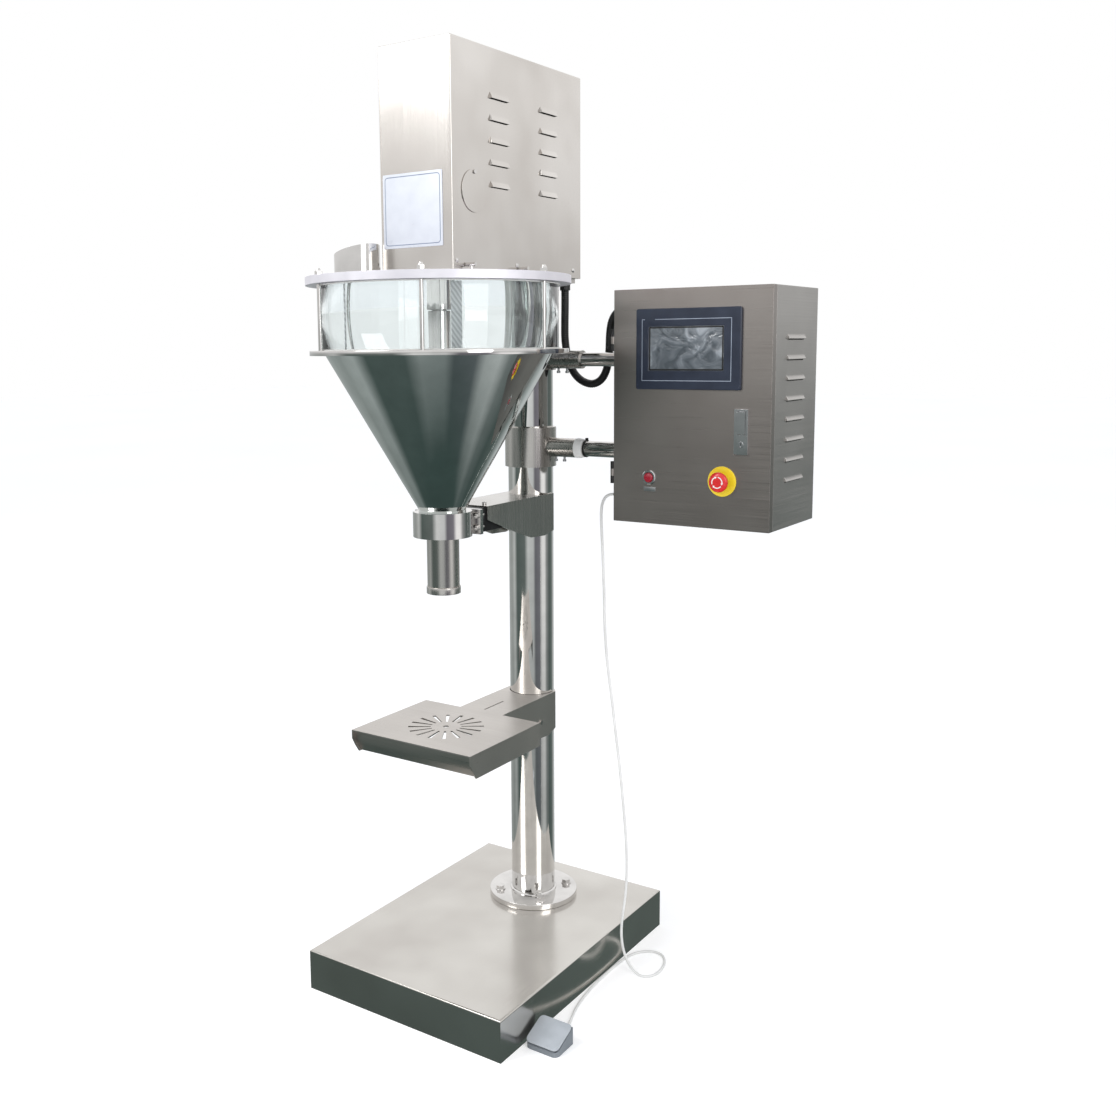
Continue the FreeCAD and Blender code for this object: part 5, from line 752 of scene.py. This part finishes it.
def make_arm_details():
    """Set screws and lock nuts of the arms, the white wrap at the sleeve's end and its cable tie."""
    steel = []
    for height, arm, sleeve, reach in ((1.1535, 0.0175, 0.0212, 0.130), (1.348, 0.015, 0.0198, 0.137)):
        under = height - sleeve - 0.008
        for x in (reach - 0.062, reach - 0.040):
            shank = [(0.0025, under), (0.0025, height - arm)]
            head = [(0.0032, under - 0.002), (0.0040, under - 0.0014), (0.0040, under + 0.0025),
                    (0.0034, under + 0.003)]
            steel += [knob(shank, (x, 0, 0), steps=24), knob(head, (x, 0, 0), steps=32)]
        angle = np.arange(6) * np.pi / 3
        corners = np.stack([np.cos(angle), np.sin(angle)], -1) * arm * 1.35 + (0, height)
        nut = eased(corners, 0.002, 3)
        bore = nut - (0, height)
        bore = bore / np.linalg.norm(bore, axis=1, keepdims=True) * (arm + 0.0001) + (0, height)
        steel.append(rim(nut, bore, 0.2605, 0.2685, "X", 0.0006))
    piece("arm_screws", "control_arm", "zinc_plate", steel, ("arm_fasteners",))
    turns = np.linspace(0, 1, 40)
    path = np.stack([0.124 + 0.019 * turns, 0 * turns, 1.1535 + 0 * turns], -1)
    layers = 0.0222 - 0.0030 * turns ** 2 - 0.0005 * (turns * 4 % 1)
    piece("sleeve_wrap", "control_arm", "white_polymer", [sweep(path, layers, 40)])
    tie = [(0.0175, 0.1455), (0.0191, 0.1457), (0.0194, 0.1472), (0.0191, 0.1487), (0.0175, 0.1489)]
    lock = slab(oblong((-0.0035, 1.1722), (0.0035, 1.1768), 0.0008, 3), 0.1450, 0.1496, "X")
    piece("cable_tie", "control_arm", "black_polymer", [ring(tie, (0, 0, 1.1535), "X", 48), lock])


def make_foot_switch():
    """The foot switch: a painted wedge with a pressed, slightly domed pedal plate."""
    eased_copy("foot_base", None, 0.0010)
    plate, faces = slab(oblong((0.258, -0.432), (0.332, -0.370), 0.011, 8), 0.0, 0.0036, edge=0.0010,
                        dome=0.0022)
    slope = 0.024 / 0.062
    plate[:, 2] += 0.013 + (plate[:, 1] + 0.432) * slope
    lugs = [slab(oblong((-0.385, 0.0252), (-0.377, 0.0345), 0.002, 4), x, x + 0.004, "X")
            for x in (0.266, 0.320)]
    piece("foot_pedal_finished", "pedal", "pedal_grey", [(plate, faces), *lugs], ("foot_pedal",))


make_data_plate()
make_screen()
make_controls()
make_latch()
make_arm_details()
make_foot_switch()


# ------------------------------------------------------------------ light and floor
def make_floor():
    """A pale floor, lit a little from within so that it fades into the white behind it."""
    mesh = bpy.data.meshes.new("floor")
    mesh.from_pydata([(-30, -30, 0), (30, -30, 0), (30, 30, 0), (-30, 30, 0)], [], [(0, 1, 2, 3)])
    made, tree, shader = new_material("pale_floor", Roughness=0.9, Emission_Strength=0.28,
                                      Emission_Color=linear("#FFFFFF"))
    place = add_node(tree, "ShaderNodeTexCoord").outputs["Object"]
    cloud = add_node(tree, "ShaderNodeTexNoise", {"Vector": place, "Scale": 0.6})
    tree.links.new(ramp(tree, cloud.outputs["Fac"], ((0.3, "#F0F0F0"), (0.7, "#F4F4F4"))),
                   shader.inputs["Base Color"])
    mesh.materials.append(made)
    floor = bpy.data.objects.new("floor", mesh)
    bpy.context.scene.collection.objects.link(floor)
    floor.visible_glossy = False


def make_world():
    """White where the lens sees it; reflections see a bright hall over a dark green-grey floor."""
    world = bpy.data.worlds.new("studio")
    bpy.context.scene.world = world
    world.use_nodes = True
    tree = world.node_tree
    output = tree.nodes["World Output"]
    way = add_node(tree, "ShaderNodeTexCoord").outputs["Generated"]
    part = add_node(tree, "ShaderNodeSeparateXYZ", {"Vector": way})
    height = add_node(tree, "ShaderNodeMapRange", {"Value": part.outputs["Z"], "From Min": -1.0,
                                                   "From Max": 1.0})
    sky = ramp(tree, height.outputs["Result"], ((0.49, "#B9BABA"), (0.53, "#E4E4E4"), (0.6, "#FFFFFF")))
    turn = add_node(tree, "ShaderNodeMath", operation="ARCTAN2")
    tree.links.new(part.outputs["Y"], turn.inputs[0])
    tree.links.new(part.outputs["X"], turn.inputs[1])
    round_share = add_node(tree, "ShaderNodeMapRange", {"Value": turn.outputs["Value"],
                                                        "From Min": -math.pi, "From Max": math.pi})
    hall = ramp(tree, round_share.outputs["Result"],
                ((0.00, "#9DA2A0"), (0.06, "#C3C7C6"), (0.11, "#5A6562"), (0.24, "#6E7674"),
                 (0.29, "#E5E8E8"), (0.37, "#D8DBDC"), (0.40, "#77757D"), (0.47, "#84828A"),
                 (0.505, "#FFFFFF"), (0.55, "#FFFFFF"), (0.585, "#9A9D9D"), (0.64, "#586260"),
                 (0.70, "#66706D"), (0.77, "#C6C9C9"), (0.86, "#A5AAA9"), (1.00, "#9DA2A0")))
    sink = add_node(tree, "ShaderNodeMapRange", {"Value": part.outputs["Z"], "From Min": -0.80,
                                                 "From Max": -0.35})
    below = add_node(tree, "ShaderNodeMix", {"Factor": sink.outputs["Result"]}, data_type="RGBA")
    below.inputs[6].default_value = linear("#445350")
    tree.links.new(hall, below.inputs[7])
    rise = add_node(tree, "ShaderNodeMapRange", {"Value": part.outputs["Z"], "From Min": -0.10,
                                                 "From Max": 0.04})
    mixed = add_node(tree, "ShaderNodeMix", {"Factor": rise.outputs["Result"]}, data_type="RGBA")
    tree.links.new(below.outputs[2], mixed.inputs[6])
    tree.links.new(sky, mixed.inputs[7])
    path = add_node(tree, "ShaderNodeLightPath")
    mirrored = add_node(tree, "ShaderNodeMath", {0: path.outputs["Glossy Depth"], 1: 1.0},
                        operation="MINIMUM")
    through = add_node(tree, "ShaderNodeMath", {0: path.outputs["Is Transmission Ray"],
                                                1: mirrored.outputs["Value"]}, operation="SUBTRACT")
    seen = add_node(tree, "ShaderNodeMath", {0: path.outputs["Is Camera Ray"],
                                             1: through.outputs["Value"]}, operation="MAXIMUM")
    bright = add_node(tree, "ShaderNodeBackground", {"Color": mixed.outputs[2], "Strength": 1.2})
    even = add_node(tree, "ShaderNodeBackground", {"Color": linear("#F4F6FA"), "Strength": 0.85})
    white = add_node(tree, "ShaderNodeBackground", {"Color": linear("#FFFFFF"), "Strength": 1.0})
    inner = add_node(tree, "ShaderNodeMixShader", {"Fac": mirrored.outputs["Value"]})
    tree.links.new(even.outputs[0], inner.inputs[1])
    tree.links.new(bright.outputs[0], inner.inputs[2])
    outer = add_node(tree, "ShaderNodeMixShader", {"Fac": seen.outputs["Value"]})
    tree.links.new(inner.outputs[0], outer.inputs[1])
    tree.links.new(white.outputs[0], outer.inputs[2])
    tree.links.new(outer.outputs[0], output.inputs["Surface"])


def make_light(name, place, aim, size, watts):
    """A rectangular area light at a place, aimed at a point."""
    lamp = bpy.data.lights.new(name, "AREA")
    lamp.shape = "RECTANGLE"
    lamp.size, lamp.size_y = size
    lamp.energy = watts
    light = bpy.data.objects.new(name, lamp)
    bpy.context.scene.collection.objects.link(light)
    light.matrix_world = Matrix.Translation(place) @ (
        Vector(place) - Vector(aim)).to_track_quat("Z", "Y").to_matrix().to_4x4()


make_floor()
make_world()
make_light("key", (-1.6, -3.0, 3.6), (0.1, -0.2, 1.1), (1.6, 2.2), 70)
make_light("fill", (3.2, -1.4, 2.4), (0.2, -0.1, 1.1), (1.4, 2.4), 34)

bpy.context.scene.view_settings.view_transform = "Standard"
